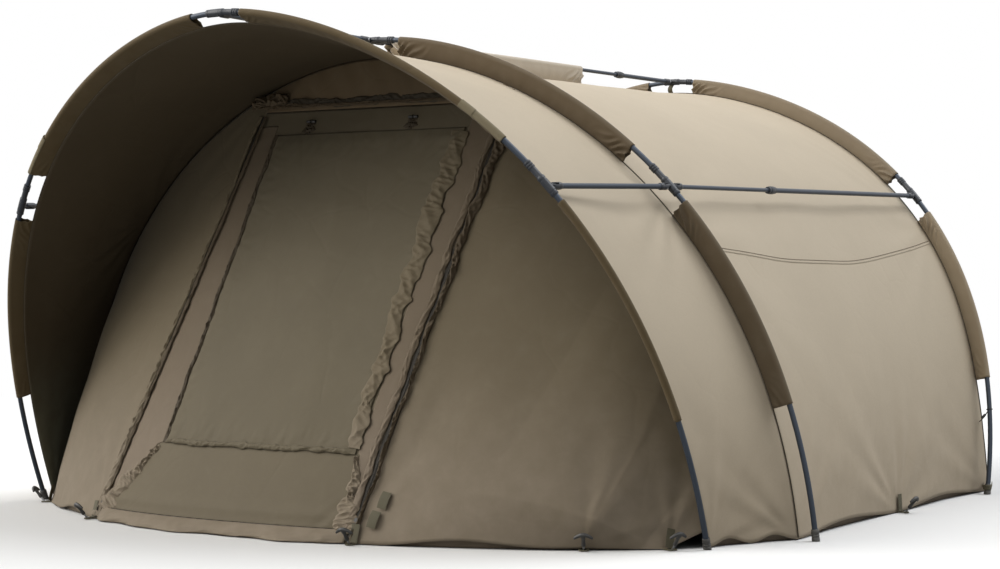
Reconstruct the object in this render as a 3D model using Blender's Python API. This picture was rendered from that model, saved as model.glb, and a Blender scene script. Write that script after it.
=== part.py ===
"""A pitched bivvy tent: three sprung ribs, six spreader bars, a hooded canopy and a zipped front.

The ribs stand one behind another along +Y and the doorway faces -Y. Z is up and the feet stand on
z = 0, under the middle of the whole tent. A place on a rib is given by its share of the way from
the crown, 0, to a foot, 1, and it is negative on the tent's left, the side of -X.
"""
import math

import bmesh
import bpy
import numpy as np

for old in list(bpy.data.objects):
    bpy.data.objects.remove(old, do_unlink=True)

# Clearances: between pieces that touch, between sewn panels, and under a seam that carries a panel
GAP = 0.0003
SEAM_GAP = 0.0005
HUNG_GAP = 0.0009
OVERRUN = 0.004

# Fabric panels
FABRIC = 0.002

# Rib poles: tube sizes, and each arch's half span, height along its lean, foot place and lean
POLE_RADIUS = 0.008
POLE_WALL = 0.0014
FRONT_HALF_SPAN, FRONT_RISE, FRONT_FOOT_Y, FRONT_LEAN_DEG = 1.300, 1.600, 0.194, 19.3
MID_HALF_SPAN, MID_RISE, MID_FOOT_Y, MID_LEAN_DEG = 1.466, 1.496, 0.511, 5.1
REAR_HALF_SPAN, REAR_RISE, REAR_FOOT_Y, REAR_LEAN_DEG = 1.370, 1.507, 1.951, -9.8
FRONT_PULL_SHARES, FRONT_SPLAY_DEG = (0.35, 0.74), 3.0
MID_PULL_SHARES, MID_SPLAY_DEG = (0.38, 0.69), -2.9
REAR_PULL_SHARES, REAR_SPLAY_DEG = (0.24, 0.82), 2.4

# How far the canopy hangs inside each rib, and how far behind the front rib it starts
FRONT_SETBACK = 0.036
FRONT_INSET = 0.036
MID_INSET = 0.055
REAR_INSET = 0.045
REAR_TAIL = 0.115
BACK_HEM_Y = 2.150
BAY_SAG = 0.012

# Stations along half a rib: sleeve windows round the crown, half as long as given here, and round
# the joint at HUB_STATION. The crown window's end is a station too, after the crown's own.
FRONT_WINDOW_HALF, MID_WINDOW_HALF, REAR_WINDOW_HALF = 0.0942, 0.1123, 0.0994
FRONT_SHARES = (0, .15, .235, .305, .40, .48, .555, .6145, .637, .70, .79, .885, .945, 1)
MID_SHARES = (0, .15, .235, .305, .37, .44, .508, .581, .608, .655, .765, .866, .935, 1)
REAR_SHARES = (0, .16, .235, .305, .40, .49, .573, .6175, .652, .69, .785, .883, .945, 1)
CROWN_WINDOW, WINDOW_TOP, HUB_STATION, WINDOW_FOOT, ROOF_SEAM, SLEEVE_END = 1, 7, 8, 9, 10, 12
TAIL_START = 11

# Rib joints, their collars, and the caps on the pole feet
HUB_RADIUS = 0.0125
HUB_LENGTH = 0.064
HUB_CHAMFER = 0.002
ARM_RADIUS = 0.0098
ARM_LENGTH = 0.088
FERRULE_RADIUS = 0.0112
FERRULE_LENGTH = 0.024
BUTT_GAP = 0.0009
CAP_RADIUS = 0.0115
CAP_LENGTH = 0.034
CAP_FLOOR = 0.005

# Spreader bars: tubes, end fittings, joint lugs and pins
BAR_RADIUS = 0.0078
BAR_WALL = 0.0011
INNER_WALL = 0.0011
FORK_RADIUS = 0.0105
FORK_NOSE = 0.008
FORK_BODY = 0.030
FORK_BORE = 0.003
SLOT_DEPTH = 0.0135
LUG_THICKNESS = 0.006
LUG_HALF_HEIGHT = 0.0075
LUG_CHAMFER = 0.0025
PIN_OFFSET = 0.027
PIN_RADIUS = 0.0025
PIN_SHARE = 0.93
COLLAR_RADIUS = 0.0125
COLLAR_LENGTH = 0.046
COLLAR_RIB = 0.0016
SIDE_OUTER_SHARE = 0.656
TOP_OUTER_SHARE = 0.2125
SIDE_OVERLAP = 0.16
TOP_OVERLAP = 0.09
TOP_SLEEVE_START = 0.085
TOP_SLEEVE_SHARE = 0.6485
SLEEVE_WALL = 0.0012
SEAM_STRIP = 0.005
STRIP_SHARE = 0.75

# Front: hem bulge, wing edges on the canopy, zip lines, door and window
HEM_FRONT_Y = -0.25
HEM_CORNER_X = 1.21
HEM_CORNER_Y = 0.135
HEM_BULGE_POWER = 2.4
HEM_RISE = 0.018
HEM_ARCHES = 2
HEM_LIFT_SHARES = (.32, .90)
PEG_LOOP = 0.003
LOOP_BITE = 0.001
DOOR_LEFT_HEM_X = -0.70
DOOR_RIGHT_HEM_X = 0.385
DOOR_LEFT_STATION, DOOR_RIGHT_STATION = -3, 4
DOOR_TOP_SHARES = (.945, .975)
HINGE_GAP = 0.0013
EDGE_SHARES = ((.985, .12), (.945, .42), (.885, .76))
WINDOW_FOOT_U_SHARES, WINDOW_HEAD_U_SHARES = (.19, .92), (.09, .865)
WINDOW_W_SHARES = (.19, .94)
DOOR_CLEAR = 0.0008
FLAP_RIPPLE = 0.0035
FLAP_RIPPLES = 5
WINDOW_COLUMNS = 7
DOOR_FOLD = 0.010
MESH_THICKNESS = 0.001

# Zip sliders, toggles and pegs
SLIDER_LENGTH, SLIDER_WIDTH, SLIDER_HEIGHT = 0.030, 0.014, 0.007
SLIDER_START = 0.045
TOGGLE_RADIUS = 0.0045
TOGGLE_LENGTH = 0.036
TOGGLE_U_SHARES = (.22, .64)
PEG_LEAN_DEG = 38.0
PEG_SHAFT_RADIUS, PEG_SHAFT_LENGTH = 0.003, 0.020
PEG_NECK_RADIUS, PEG_NECK_LENGTH = 0.0062, 0.036
PEG_HEAD_HALF_SPAN, PEG_HEAD_RISE, PEG_HEAD_DEPTH, PEG_HEAD_HEIGHT = 0.027, 0.010, 0.010, 0.011
LOOP_WIDTH, LOOP_LENGTH, LOOP_BAND = 0.030, 0.044, 0.006
LOOP_TUCK = 0.010
PEG_RIGHT_FOOT = (1.355, 0.066)
PEG_WING_X = 1.022
PEG_SIDE_Y = 1.231

# Facets of a round piece, and the step for a curve's direction
SIDES = 8
SMALL_STEP = 0.0001
WINDOW_TRIES = 41

COLOURS = {
    "pole": ((0.055, 0.06, 0.075), 0.32, 1.0),
    "fitting": ((0.035, 0.038, 0.045), 0.45, 0.0),
    "canopy": ((0.40, 0.35, 0.27), 0.75, 0.0),
    "sleeve": ((0.14, 0.11, 0.075), 0.80, 0.0),
    "front": ((0.19, 0.16, 0.115), 0.78, 0.0),
    "window": ((0.16, 0.145, 0.10), 0.78, 0.0),
    "mesh": ((0.02, 0.02, 0.018), 0.90, 0.0),
    "peg": ((0.012, 0.012, 0.014), 0.50, 0.0),
}


def unit(vector):
    """The vector, or each row of vectors, at length one."""
    vector = np.asarray(vector, dtype=float)
    return vector / np.linalg.norm(vector, axis=-1, keepdims=True)


def turning_bore(radius):
    """Corner radius of a faceted bore whose flats stay clear of a shaft that turns in it."""
    return (radius + GAP) / math.cos(math.pi / SIDES)


class Solid:
    """Points and faces gathered for one object."""

    def __init__(self):
        self.points = []
        self.faces = []

    def add(self, points):
        """Take in points and give their numbers back."""
        first = len(self.points)
        self.points.extend(tuple(float(value) for value in point) for point in points)
        return list(range(first, len(self.points)))

    def fan(self, corners):
        """A flat face, as triangles from its first corner."""
        for second, third in zip(corners[1:-1], corners[2:]):
            self.faces.append((corners[0], second, third))

    def skin(self, first, second):
        """Quads between two closed rings of corners."""
        count = len(first)
        for index in range(count):
            after = (index + 1) % count
            self.fan((first[index], first[after], second[after], second[index]))

    def loft(self, rings):
        """A closed body through rings of points, capped at both ends."""
        rings = [self.add(ring_points) for ring_points in rings]
        for first, second in zip(rings, rings[1:]):
            self.skin(first, second)
        self.fan(rings[0][::-1])
        self.fan(rings[-1])

    def pipe(self, outers, inners):
        """A body through outer rings with an open bore through inner rings."""
        outers = [self.add(ring_points) for ring_points in outers]
        inners = [self.add(ring_points) for ring_points in inners]
        for first, second in zip(outers, outers[1:]):
            self.skin(first, second)
        for first, second in zip(inners, inners[1:]):
            self.skin(second, first)
        self.skin(inners[0], outers[0])
        self.skin(outers[-1], inners[-1])

    def cup(self, outers, inners):
        """A tube that is open at its first rings and closed at its last."""
        outers = [self.add(ring_points) for ring_points in outers]
        inners = [self.add(ring_points) for ring_points in inners]
        for first, second in zip(outers, outers[1:]):
            self.skin(first, second)
        for first, second in zip(inners, inners[1:]):
            self.skin(second, first)
        self.skin(inners[0], outers[0])
        self.fan(outers[-1])
        self.fan(inners[-1][::-1])

    def prism(self, outline, through):
        """A flat outline pushed along the vector through."""
        outline = np.asarray(outline, dtype=float)
        self.loft([outline, outline + np.asarray(through)])

    def sheet(self, middle, outward, thickness, used=None, trim=SEAM_GAP / 2):
        """A panel of fabric: a grid of points, thickened by half to each side, its rim trimmed."""
        middle = np.array(middle, dtype=float)
        rim = middle.copy()
        rim[0] += unit(middle[1] - middle[0]) * trim
        rim[-1] += unit(middle[-2] - middle[-1]) * trim
        rim[:, 0] += unit(middle[:, 1] - middle[:, 0]) * trim
        rim[:, -1] += unit(middle[:, -2] - middle[:, -1]) * trim
        rows, columns = rim.shape[:2]
        if used is None:
            used = np.ones((rows - 1, columns - 1), dtype=bool)
        needed = np.zeros((rows, columns), dtype=bool)
        for row, column in zip(*np.nonzero(used)):
            needed[row:row + 2, column:column + 2] = True
        half = np.asarray(outward) * thickness / 2
        outer = np.zeros((rows, columns), dtype=int)
        inner = np.zeros((rows, columns), dtype=int)
        outer[needed] = self.add((rim + half)[needed])
        inner[needed] = self.add((rim - half)[needed])
        for row, column in zip(*np.nonzero(used)):
            corners = [(row, column), (row, column + 1), (row + 1, column + 1), (row + 1, column)]
            self.fan([outer[corner] for corner in corners])
            first, second, third, fourth = [inner[corner] for corner in corners]
            self.fan((first, fourth, third, second))
            sides = [(-1, 0), (0, 1), (1, 0), (0, -1)]
            for index, (down, along) in enumerate(sides):
                near_row, near_column = row + down, column + along
                inside = 0 <= near_row < rows - 1 and 0 <= near_column < columns - 1
                if inside and used[near_row, near_column]:
                    continue
                start, end = corners[index], corners[(index + 1) % 4]
                self.fan((outer[end], outer[start], inner[start], inner[end]))


def ring(centre, across, over, radius, sides=SIDES):
    """A regular ring of points, with a flat facing across."""
    turns = (np.arange(sides) + 0.5) * 2 * math.pi / sides
    return np.asarray(centre) + radius * (np.outer(np.cos(turns), across)
                                          + np.outer(np.sin(turns), over))


def square_frame(along, towards):
    """Axes for a piece that runs along one direction: the part of towards square to it, and over."""
    along = unit(along)
    across = unit(np.asarray(towards) - np.dot(towards, along) * along)
    return along, across, np.cross(along, across)


def turned_rings(origin, along, towards, profile, sides=SIDES):
    """Rings of a turned shape: pairs of distance along the axis and radius."""
    along, across, over = square_frame(along, towards)
    return [ring(origin + along * distance, across, over, radius, sides)
            for distance, radius in profile]


def box(solid, centre, axes, half_sizes):
    """A block on three square axes."""
    first, second, third = [np.asarray(axis) * half for axis, half in zip(axes, half_sizes)]
    corners = [centre + first * one + second * two - third
               for one, two in ((-1, -1), (1, -1), (1, 1), (-1, 1))]
    solid.prism(corners, third * 2)


MATERIALS = {}


def material(name):
    """The piece's colour, roughness and metal."""
    if name not in MATERIALS:
        colour, roughness, metallic = COLOURS[name]
        made = bpy.data.materials.new(name)
        made.use_nodes = True
        shader = made.node_tree.nodes["Principled BSDF"]
        shader.inputs["Base Color"].default_value = (*colour, 1)
        shader.inputs["Roughness"].default_value = roughness
        shader.inputs["Metallic"].default_value = metallic
        MATERIALS[name] = made
    return MATERIALS[name]


def make(name, solid, finish, origin=None, cutter=False):
    """One named object from gathered points, with its origin where its joint is."""
    origin = np.zeros(3) if origin is None else np.asarray(origin)
    mesh = bpy.data.meshes.new(name)
    mesh.from_pydata([tuple(np.asarray(point) - origin) for point in solid.points], [], solid.faces)
    shape = bmesh.new()
    shape.from_mesh(mesh)
    bmesh.ops.recalc_face_normals(shape, faces=shape.faces[:])
    shape.to_mesh(mesh)
    shape.free()
    mesh.shade_smooth()
    mesh.set_sharp_from_angle(angle=math.radians(40))
    mesh.materials.append(material(finish))
    made = bpy.data.objects.new(name, mesh)
    made.location = origin
    bpy.context.collection.objects.link(made)
    if cutter:
        made.hide_render = True
        made.display_type = "WIRE"
    return made


def combine(target, name, solid, operation, use_self=False):
    """Join a second shape to an object, or cut it out, with an exact Boolean."""
    tool = make(target.name + "_" + name, solid, "fitting", cutter=True)
    change = target.modifiers.new(name, "BOOLEAN")
    change.operation = operation
    change.solver = "EXACT"
    change.use_self = use_self
    change.object = tool


class Rib:
    """A sprung arch in a leaning plane: one cubic curve from the crown to each foot."""

    def __init__(self, name, half_span, rise, foot_y, lean_deg, pull_shares, splay_deg, shares,
                 window_half):
        self.name = name
        self.foot_y = foot_y
        self.lean = math.radians(lean_deg)
        crown_pull, leg_pull = pull_shares
        splay = math.radians(splay_deg)
        self.knots = np.array([
            (0, rise), (half_span * crown_pull, rise),
            (half_span + leg_pull * rise * math.sin(splay), leg_pull * rise * math.cos(splay)),
            (half_span, 0)])
        self.up = np.array([0, -math.sin(self.lean), math.cos(self.lean)])
        self.plane_normal = np.array([0, math.cos(self.lean), math.sin(self.lean)])
        tries = np.linspace(0, shares[CROWN_WINDOW], WINDOW_TRIES)
        reach = [np.linalg.norm(self.point(share) - self.point(0)) for share in tries]
        window_end = float(np.interp(window_half, reach, tries))
        self.shares = (*shares[:CROWN_WINDOW], window_end, *shares[CROWN_WINDOW:])

    def point(self, share):
        """Centre of the pole at a share of the way from the crown to a foot."""
        reach = abs(share)
        blend = np.array([(1 - reach) ** 3, 3 * reach * (1 - reach) ** 2,
                          3 * reach ** 2 * (1 - reach), reach ** 3])
        across, height = blend @ self.knots
        side = -1 if share < 0 else 1
        return np.array([side * across, self.foot_y - DEPTH_MIDDLE, 0]) + height * self.up

    def tangent(self, share):
        """Direction of the pole, from the left foot over the crown to the right foot."""
        return unit(self.point(min(share + SMALL_STEP, 1)) - self.point(max(share - SMALL_STEP, -1)))

    def inward(self, share):
        """Direction in the arch's plane, square to the pole, towards the tent's inside."""
        return np.cross(self.plane_normal, self.tangent(share))

    def station(self, index):
        """Share of the station with this number, negative on the left."""
        return math.copysign(self.shares[abs(index)], index) if index else 0.0


DEPTH_MIDDLE = 0
front_rib = Rib("front", FRONT_HALF_SPAN, FRONT_RISE, FRONT_FOOT_Y, FRONT_LEAN_DEG,
                FRONT_PULL_SHARES, FRONT_SPLAY_DEG, FRONT_SHARES, FRONT_WINDOW_HALF)
mid_rib = Rib("mid", MID_HALF_SPAN, MID_RISE, MID_FOOT_Y, MID_LEAN_DEG,
              MID_PULL_SHARES, MID_SPLAY_DEG, MID_SHARES, MID_WINDOW_HALF)
rear_rib = Rib("rear", REAR_HALF_SPAN, REAR_RISE, REAR_FOOT_Y, REAR_LEAN_DEG,
               REAR_PULL_SHARES, REAR_SPLAY_DEG, REAR_SHARES, REAR_WINDOW_HALF)
DEPTH_MIDDLE = (front_rib.point(0)[1] + rear_rib.point(0)[1]) / 2
RIBS = (front_rib, mid_rib, rear_rib)
LAST = len(front_rib.shares) - 1
STATIONS = range(-LAST, LAST + 1)


def mid_edge(index):
    """The seam under the middle rib."""
    share = mid_rib.station(index)
    return mid_rib.point(share) + MID_INSET * mid_rib.inward(share)


def front_edge(index):
    """The canopy's front edge, a little way from the front rib towards the middle one."""
    share = front_rib.station(index)
    start = front_rib.point(share) + FRONT_INSET * front_rib.inward(share)
    return start + FRONT_SETBACK * unit(mid_edge(index) - start)


def rear_edge(index):
    """The seam under the rear rib, which runs back behind the foot of the pole at the floor."""
    share = rear_rib.station(index)
    drop = max(0, abs(index) - TAIL_START) / (LAST - TAIL_START)
    back = np.array([0, REAR_TAIL * drop ** 2, 0])
    return rear_rib.point(share) + REAR_INSET * rear_rib.inward(share) + back


EDGES = {"front": front_edge, "mid": mid_edge, "rear": rear_edge}


def bay_normal(index, start, end):
    """Outward direction of a bay at a station: square to the rib and to the line across."""
    after = min(index + 1, LAST)
    before = max(index - 1, -LAST)
    along = (start(after) - start(before)) + (end(after) - end(before))
    across = end(index) - start(index)
    return unit(np.cross(across, along)) * -1


HEM = PEG_LOOP - LOOP_BITE


def hem_height(share):
    """Height of a bay's lower edge: low at the ribs and at the side peg, lifted between them."""
    return HEM + HEM_RISE * math.sin(math.pi * HEM_ARCHES * share) ** 2


def bay_point(index, share, start, end):
    """A point of a bay between two ribs, drawn in a little between them by the fabric's pull."""
    span_start, span_end = start(index), end(index)
    normal = bay_normal(index, start, end)
    point = span_start + share * (span_end - span_start)
    point = point - normal * BAY_SAG * 4 * share * (1 - share)
    if abs(index) == LAST:
        above = bay_point(index - int(math.copysign(1, index)), share, start, end)
        point = above + (point - above) * (above[2] - hem_height(share)) / (above[2] - point[2])
    return point


def bay_grid(indices, start, end, columns):
    """Points and outward directions of a bay, station by station."""
    shares = np.linspace(0, 1, columns)
    middle = np.array([[bay_point(index, share, start, end) for share in shares]
                       for index in indices])
    outward = np.array([[bay_normal(index, start, end)] * columns for index in indices])
    return middle, outward


# Canopy: the hood in two halves, the roof and sides behind it
for side, indices in (("left", range(-LAST, 1)), ("right", range(0, LAST + 1))):
    half = Solid()
    half.sheet(*bay_grid(indices, front_edge, mid_edge, 4), FABRIC)
    make("front_bay_" + side, half, "canopy")

for name, indices in (("rear_bay_left", range(-LAST, -ROOF_SEAM + 1)),
                      ("rear_bay_roof", range(-ROOF_SEAM, ROOF_SEAM + 1)),
                      ("rear_bay_right", range(ROOF_SEAM, LAST + 1))):
    bay = Solid()
    bay.sheet(*bay_grid(indices, mid_edge, rear_edge, 5), FABRIC)
    make(name, bay, "canopy")

# Back wall: hung from the rear seam and drawn down to a bowed hem
back_columns = range(-LAST + 1, LAST)
top_row = []
for index in back_columns:
    share = rear_rib.station(index)
    top_row.append(rear_edge(index) + (FABRIC / 2 + HUNG_GAP) * rear_rib.inward(share))
corner_x = top_row[-1][0]
foot_share = (rear_edge(LAST)[0] - FABRIC - 2 * HUNG_GAP) / corner_x
rows = []
for step in np.linspace(0, 1, 5):
    row = []
    for top in top_row:
        bow = 1 - (top[0] / corner_x) ** 2
        floor_y = top_row[-1][1] + (BACK_HEM_Y - DEPTH_MIDDLE - top_row[-1][1]) * bow
        foot = np.array([top[0] * foot_share, floor_y, HEM])
        row.append(top + (foot - top) * step)
    rows.append(row)
middle = np.array(rows)
wall = Solid()
wall.sheet(middle, np.broadcast_to((0.0, 1.0, 0.0), middle.shape), FABRIC)
make("back_wall", wall, "canopy")


# Rib poles, in four lengths a rib, butted inside the joints
def hub_share(rib, side):
    """Place of a joint: the crown, or the side joint of the left or right."""
    return rib.station(side * HUB_STATION)


def pole_path(rib, numbers, start_gap, end_gap):
    """Points and shares of a pole through stations, drawn back a little at a joint."""
    shares = [rib.station(number) for number in numbers]
    points = [rib.point(share) for share in shares]
    points[0] = points[0] + unit(points[1] - points[0]) * start_gap
    points[-1] = points[-1] + unit(points[-2] - points[-1]) * end_gap
    return np.array(points), shares


def path_rings(points, towards, radius):
    """Rings along a bent path, each square to the mean of its two runs."""
    runs = unit(np.diff(points, axis=0))
    rings = []
    for index, point in enumerate(points):
        before = runs[max(index - 1, 0)]
        after = runs[min(index, len(runs) - 1)]
        _, across, over = square_frame(before + after, towards[index])
        rings.append(ring(point, across, over, radius))
    return rings


def level_ring(points, along, height):
    """A ring slid along a direction until every point is at one height."""
    return points + np.outer((height - points[:, 2]) / along[2], along)


def upper_numbers(side):
    """Stations of the pole from the crown joint to a side joint."""
    return [side * number for number in range(HUB_STATION + 1)]


def lower_numbers(side):
    """Stations of the leg from a side joint to the floor."""
    return [side * number for number in range(HUB_STATION, LAST + 1)]


for rib in RIBS:
    for side, word in ((-1, "left"), (1, "right")):
        points, shares = pole_path(rib, upper_numbers(side), BUTT_GAP, BUTT_GAP)
        towards = [rib.inward(share) for share in shares]
        tube = Solid()
        tube.pipe(path_rings(points, towards, POLE_RADIUS),
                  path_rings(points, towards, POLE_RADIUS - POLE_WALL))
        make(rib.name + "_pole_" + word, tube, "pole")

        points, shares = pole_path(rib, lower_numbers(side), BUTT_GAP, 0)
        towards = [rib.inward(share) for share in shares]
        down = unit(points[-1] - points[-2])
        outers = path_rings(points, towards, POLE_RADIUS)
        inners = path_rings(points, towards, POLE_RADIUS - POLE_WALL)
        cap_top = ring(points[-1] - down * CAP_LENGTH, *square_frame(down, towards[-1])[1:], CAP_RADIUS)
        pole_top = ring(points[-1] - down * CAP_LENGTH, *square_frame(down, towards[-1])[1:], POLE_RADIUS)
        inners[-1] = level_ring(inners[-1], down, CAP_FLOOR)
        outers = outers[:-1] + [pole_top, cap_top, level_ring(cap_top, down, 0)]
        leg = Solid()
        leg.cup(outers, inners)
        make(rib.name + "_leg_" + word, leg, "pole")


# Spreader bars: the line from the joint that a bar hinges on to the joint that it clips to
class Bar:
    """Axes and end points of one spreader bar."""

    def __init__(self, name, hinge_rib, clip_rib, side):
        self.name = name
        self.side = side
        self.hinge_rib, self.clip_rib = hinge_rib, clip_rib
        share = hub_share(hinge_rib, side)
        self.hinge_hub = hinge_rib.point(share)
        self.clip_hub = clip_rib.point(hub_share(clip_rib, side))
        self.along, self.pin, self.out = square_frame(self.clip_hub - self.hinge_hub,
                                                      hinge_rib.tangent(share))
        if self.out @ hinge_rib.inward(share) > 0:
            self.out = -self.out
        self.hinge = self.hinge_hub + self.along * PIN_OFFSET
        self.clip = self.clip_hub - self.along * PIN_OFFSET
        self.length = np.linalg.norm(self.clip - self.hinge)


WORDS = {-1: "left", 0: "top", 1: "right"}
front_bars = [Bar("front_bar_" + WORDS[side], mid_rib, front_rib, side) for side in (-1, 0, 1)]
rear_bars = [Bar("rear_bar_" + WORDS[side], rear_rib, mid_rib, side) for side in (-1, 0, 1)]


def lug(solid, hub, along, out, pin):
    """The plate on a joint that a bar's fork straddles."""
    near = HUB_RADIUS / 3
    reach = PIN_OFFSET + LUG_HALF_HEIGHT
    high = LUG_HALF_HEIGHT
    outline = [(near, -high), (reach - LUG_CHAMFER, -high), (reach, LUG_CHAMFER - high),
               (reach, high - LUG_CHAMFER), (reach - LUG_CHAMFER, high), (near, high)]
    corner = [hub + along * far + out * height - pin * LUG_THICKNESS / 2 for far, height in outline]
    solid.prism(corner, pin * LUG_THICKNESS)


def pin_rings(centre, pin, out, radius, half_length):
    """The two rings of a pin or its hole."""
    return turned_rings(centre, pin, out, [(-half_length, radius), (half_length, radius)])


# Rib joints: a bent socket for two poles, with a ribbed arm on one side, lugs and hinge pins
def bent_rings(centre, foot_way, arm_way, inward, foot_profile, arm_profile, radius):
    """Rings through a joint: up the foot's side, round the bend and out along the arm."""
    foot = turned_rings(centre, -foot_way, inward, foot_profile)
    bend = turned_rings(centre, arm_way - foot_way, inward, [(0, radius)])
    return foot + bend + turned_rings(centre, arm_way, inward, arm_profile)


half, ferrule, rib_step = HUB_LENGTH / 2, ARM_LENGTH - FERRULE_LENGTH, FERRULE_LENGTH / 3
hub_foot_profile = [(-half, HUB_RADIUS - HUB_CHAMFER), (HUB_CHAMFER - half, HUB_RADIUS)]
hub_arm_profile = [
    (half - HUB_CHAMFER, HUB_RADIUS), (half, HUB_RADIUS - HUB_CHAMFER), (half, ARM_RADIUS),
    (ferrule, ARM_RADIUS), (ferrule, FERRULE_RADIUS), (ferrule + rib_step, FERRULE_RADIUS),
    (ferrule + rib_step, ARM_RADIUS), (ferrule + 2 * rib_step, ARM_RADIUS),
    (ferrule + 2 * rib_step, FERRULE_RADIUS), (ARM_LENGTH, FERRULE_RADIUS)]
pole_bore = POLE_RADIUS + GAP

for rib in RIBS:
    for side in (-1, 0, 1):
        number = side * HUB_STATION
        share = rib.station(number)
        centre, inward = rib.point(share), rib.inward(share)
        toward_crown = number - side if side else 1
        toward_foot = number + side if side else -1
        body, lugs, hinge_pin, bore = (Solid() for _ in range(4))
        arm_way = unit(rib.point(rib.station(toward_crown)) - centre)
        foot_way = unit(rib.point(rib.station(toward_foot)) - centre)
        ways = (centre, foot_way, arm_way, inward)
        body.loft(bent_rings(*ways, hub_foot_profile, hub_arm_profile, HUB_RADIUS))
        bore.loft(bent_rings(*ways, [(-half - OVERRUN, pole_bore)],
                             [(ARM_LENGTH + OVERRUN, pole_bore)], pole_bore))
        for bar in front_bars + rear_bars:
            if bar.side == side and rib is bar.hinge_rib:
                lug(lugs, centre, bar.along, bar.out, bar.pin)
                hinge_pin.loft(pin_rings(bar.hinge, bar.pin, bar.out, PIN_RADIUS, FORK_RADIUS * PIN_SHARE))
            if bar.side == side and rib is bar.clip_rib:
                lug(lugs, centre, -bar.along, bar.out, bar.pin)
        hub = make(rib.name + "_hub_" + WORDS[side], body, "fitting")
        combine(hub, "lugs", lugs, "UNION")
        if hinge_pin.points:
            combine(hub, "pin", hinge_pin, "UNION")
        combine(hub, "bore", bore, "DIFFERENCE")


def fork_rings(start, way, tube_radius):
    """Outer profile of an end fitting, from its nose to where the tube comes out."""
    return [(start - way * FORK_NOSE, FORK_RADIUS - HUB_CHAMFER),
            (start - way * (FORK_NOSE - HUB_CHAMFER), FORK_RADIUS),
            (start + way * (FORK_BODY - HUB_CHAMFER), FORK_RADIUS),
            (start + way * FORK_BODY, FORK_RADIUS - HUB_CHAMFER),
            (start + way * FORK_BODY, tube_radius)]


def bore_rings(start, way, bore):
    """Bore of an end fitting: narrow, then as wide as the tube's."""
    return [(start - way * FORK_NOSE, FORK_BORE), (start + way * FORK_BODY, FORK_BORE),
            (start + way * FORK_BODY, bore)]


def fork_slot(bar, place, along):
    """The slot in an end fitting that straddles a lug."""
    solid = Solid()
    low, high = -FORK_NOSE - OVERRUN, SLOT_DEPTH
    box(solid, place + along * (low + high) / 2, (along, bar.out, bar.pin),
        ((high - low) / 2, FORK_RADIUS + OVERRUN, LUG_THICKNESS / 2 + GAP))
    return solid


def pin_hole(bar):
    """The hole through a fork for the joint's hinge pin."""
    solid = Solid()
    solid.loft(pin_rings(bar.hinge, bar.pin, bar.out, turning_bore(PIN_RADIUS), FORK_RADIUS * 2))
    return solid


def rod(bar, outer, inner):
    """A turned tube along a bar, from profiles of distance from its hinge pin and radius."""
    solid = Solid()
    solid.pipe(turned_rings(bar.hinge, bar.along, bar.out, outer),
               turned_rings(bar.hinge, bar.along, bar.out, inner))
    return solid


BAR_BORE = BAR_RADIUS - BAR_WALL
INNER_RADIUS = BAR_BORE - GAP
INNER_BORE = INNER_RADIUS - INNER_WALL

for bar in front_bars:
    outer = fork_rings(0, 1, BAR_RADIUS) + fork_rings(bar.length, -1, BAR_RADIUS)[::-1]
    inner = bore_rings(0, 1, BAR_BORE) + bore_rings(bar.length, -1, BAR_BORE)[::-1]
    made = make(bar.name, rod(bar, outer, inner), "pole", bar.hinge)
    combine(made, "hinge_slot", fork_slot(bar, bar.hinge, bar.along), "DIFFERENCE")
    combine(made, "clip_slot", fork_slot(bar, bar.clip, -bar.along), "DIFFERENCE")
    combine(made, "pin_hole", pin_hole(bar), "DIFFERENCE")

for bar in rear_bars:
    top = bar.side == 0
    outer_end = bar.length * (TOP_OUTER_SHARE if top else SIDE_OUTER_SHARE)
    inner_start = outer_end - (TOP_OVERLAP if top else SIDE_OVERLAP)
    outer = fork_rings(0, 1, BAR_RADIUS) + [(outer_end, BAR_RADIUS)]
    inner = bore_rings(0, 1, BAR_BORE) + [(outer_end, BAR_BORE)]
    made = make(bar.name + "_outer", rod(bar, outer, inner), "pole", bar.hinge)
    combine(made, "hinge_slot", fork_slot(bar, bar.hinge, bar.along), "DIFFERENCE")
    combine(made, "pin_hole", pin_hole(bar), "DIFFERENCE")
    outer = [(inner_start, INNER_RADIUS)] + fork_rings(bar.length, -1, INNER_RADIUS)[::-1]
    inner = [(inner_start, INNER_BORE)] + bore_rings(bar.length, -1, INNER_BORE)[::-1]
    made = make(bar.name + "_inner", rod(bar, outer, inner), "pole", bar.clip)
    combine(made, "clip_slot", fork_slot(bar, bar.clip, -bar.along), "DIFFERENCE")
    start, end = outer_end - COLLAR_LENGTH, outer_end - GAP
    step = COLLAR_LENGTH / 4
    low = COLLAR_RADIUS - COLLAR_RIB
    outer = [(start, low), (start + step, low), (start + step, COLLAR_RADIUS),
             (end - step, COLLAR_RADIUS), (end - step, low), (end, low)]
    bore = turning_bore(BAR_RADIUS)
    make(bar.name + "_collar", rod(bar, outer, [(start, bore), (end, bore)]), "fitting",
         bar.hinge + bar.along * (start + end) / 2)


# Sleeves: pockets round the poles with a tail sewn to the canopy
def pocket(solid, path, tails, pocket_radius):
    """A teardrop tube along a path, drawn out to a thin tail on the seam."""
    runs = unit(np.diff(path, axis=0))
    outers, inners = [], []
    for index, point in enumerate(path):
        along = unit(runs[max(index - 1, 0)] + runs[min(index, len(runs) - 1)])
        tail = tails[index] - point
        _, across, over = square_frame(along, tail)
        outer = ring(point, across, over, pocket_radius + SLEEVE_WALL)
        end = point + across * (tail @ across)
        outer[0] = end + over * FABRIC / 2
        outer[-1] = end - over * FABRIC / 2
        outers.append(outer)
        inners.append(ring(point, across, over, pocket_radius))
    solid.pipe(outers, inners)


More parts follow.
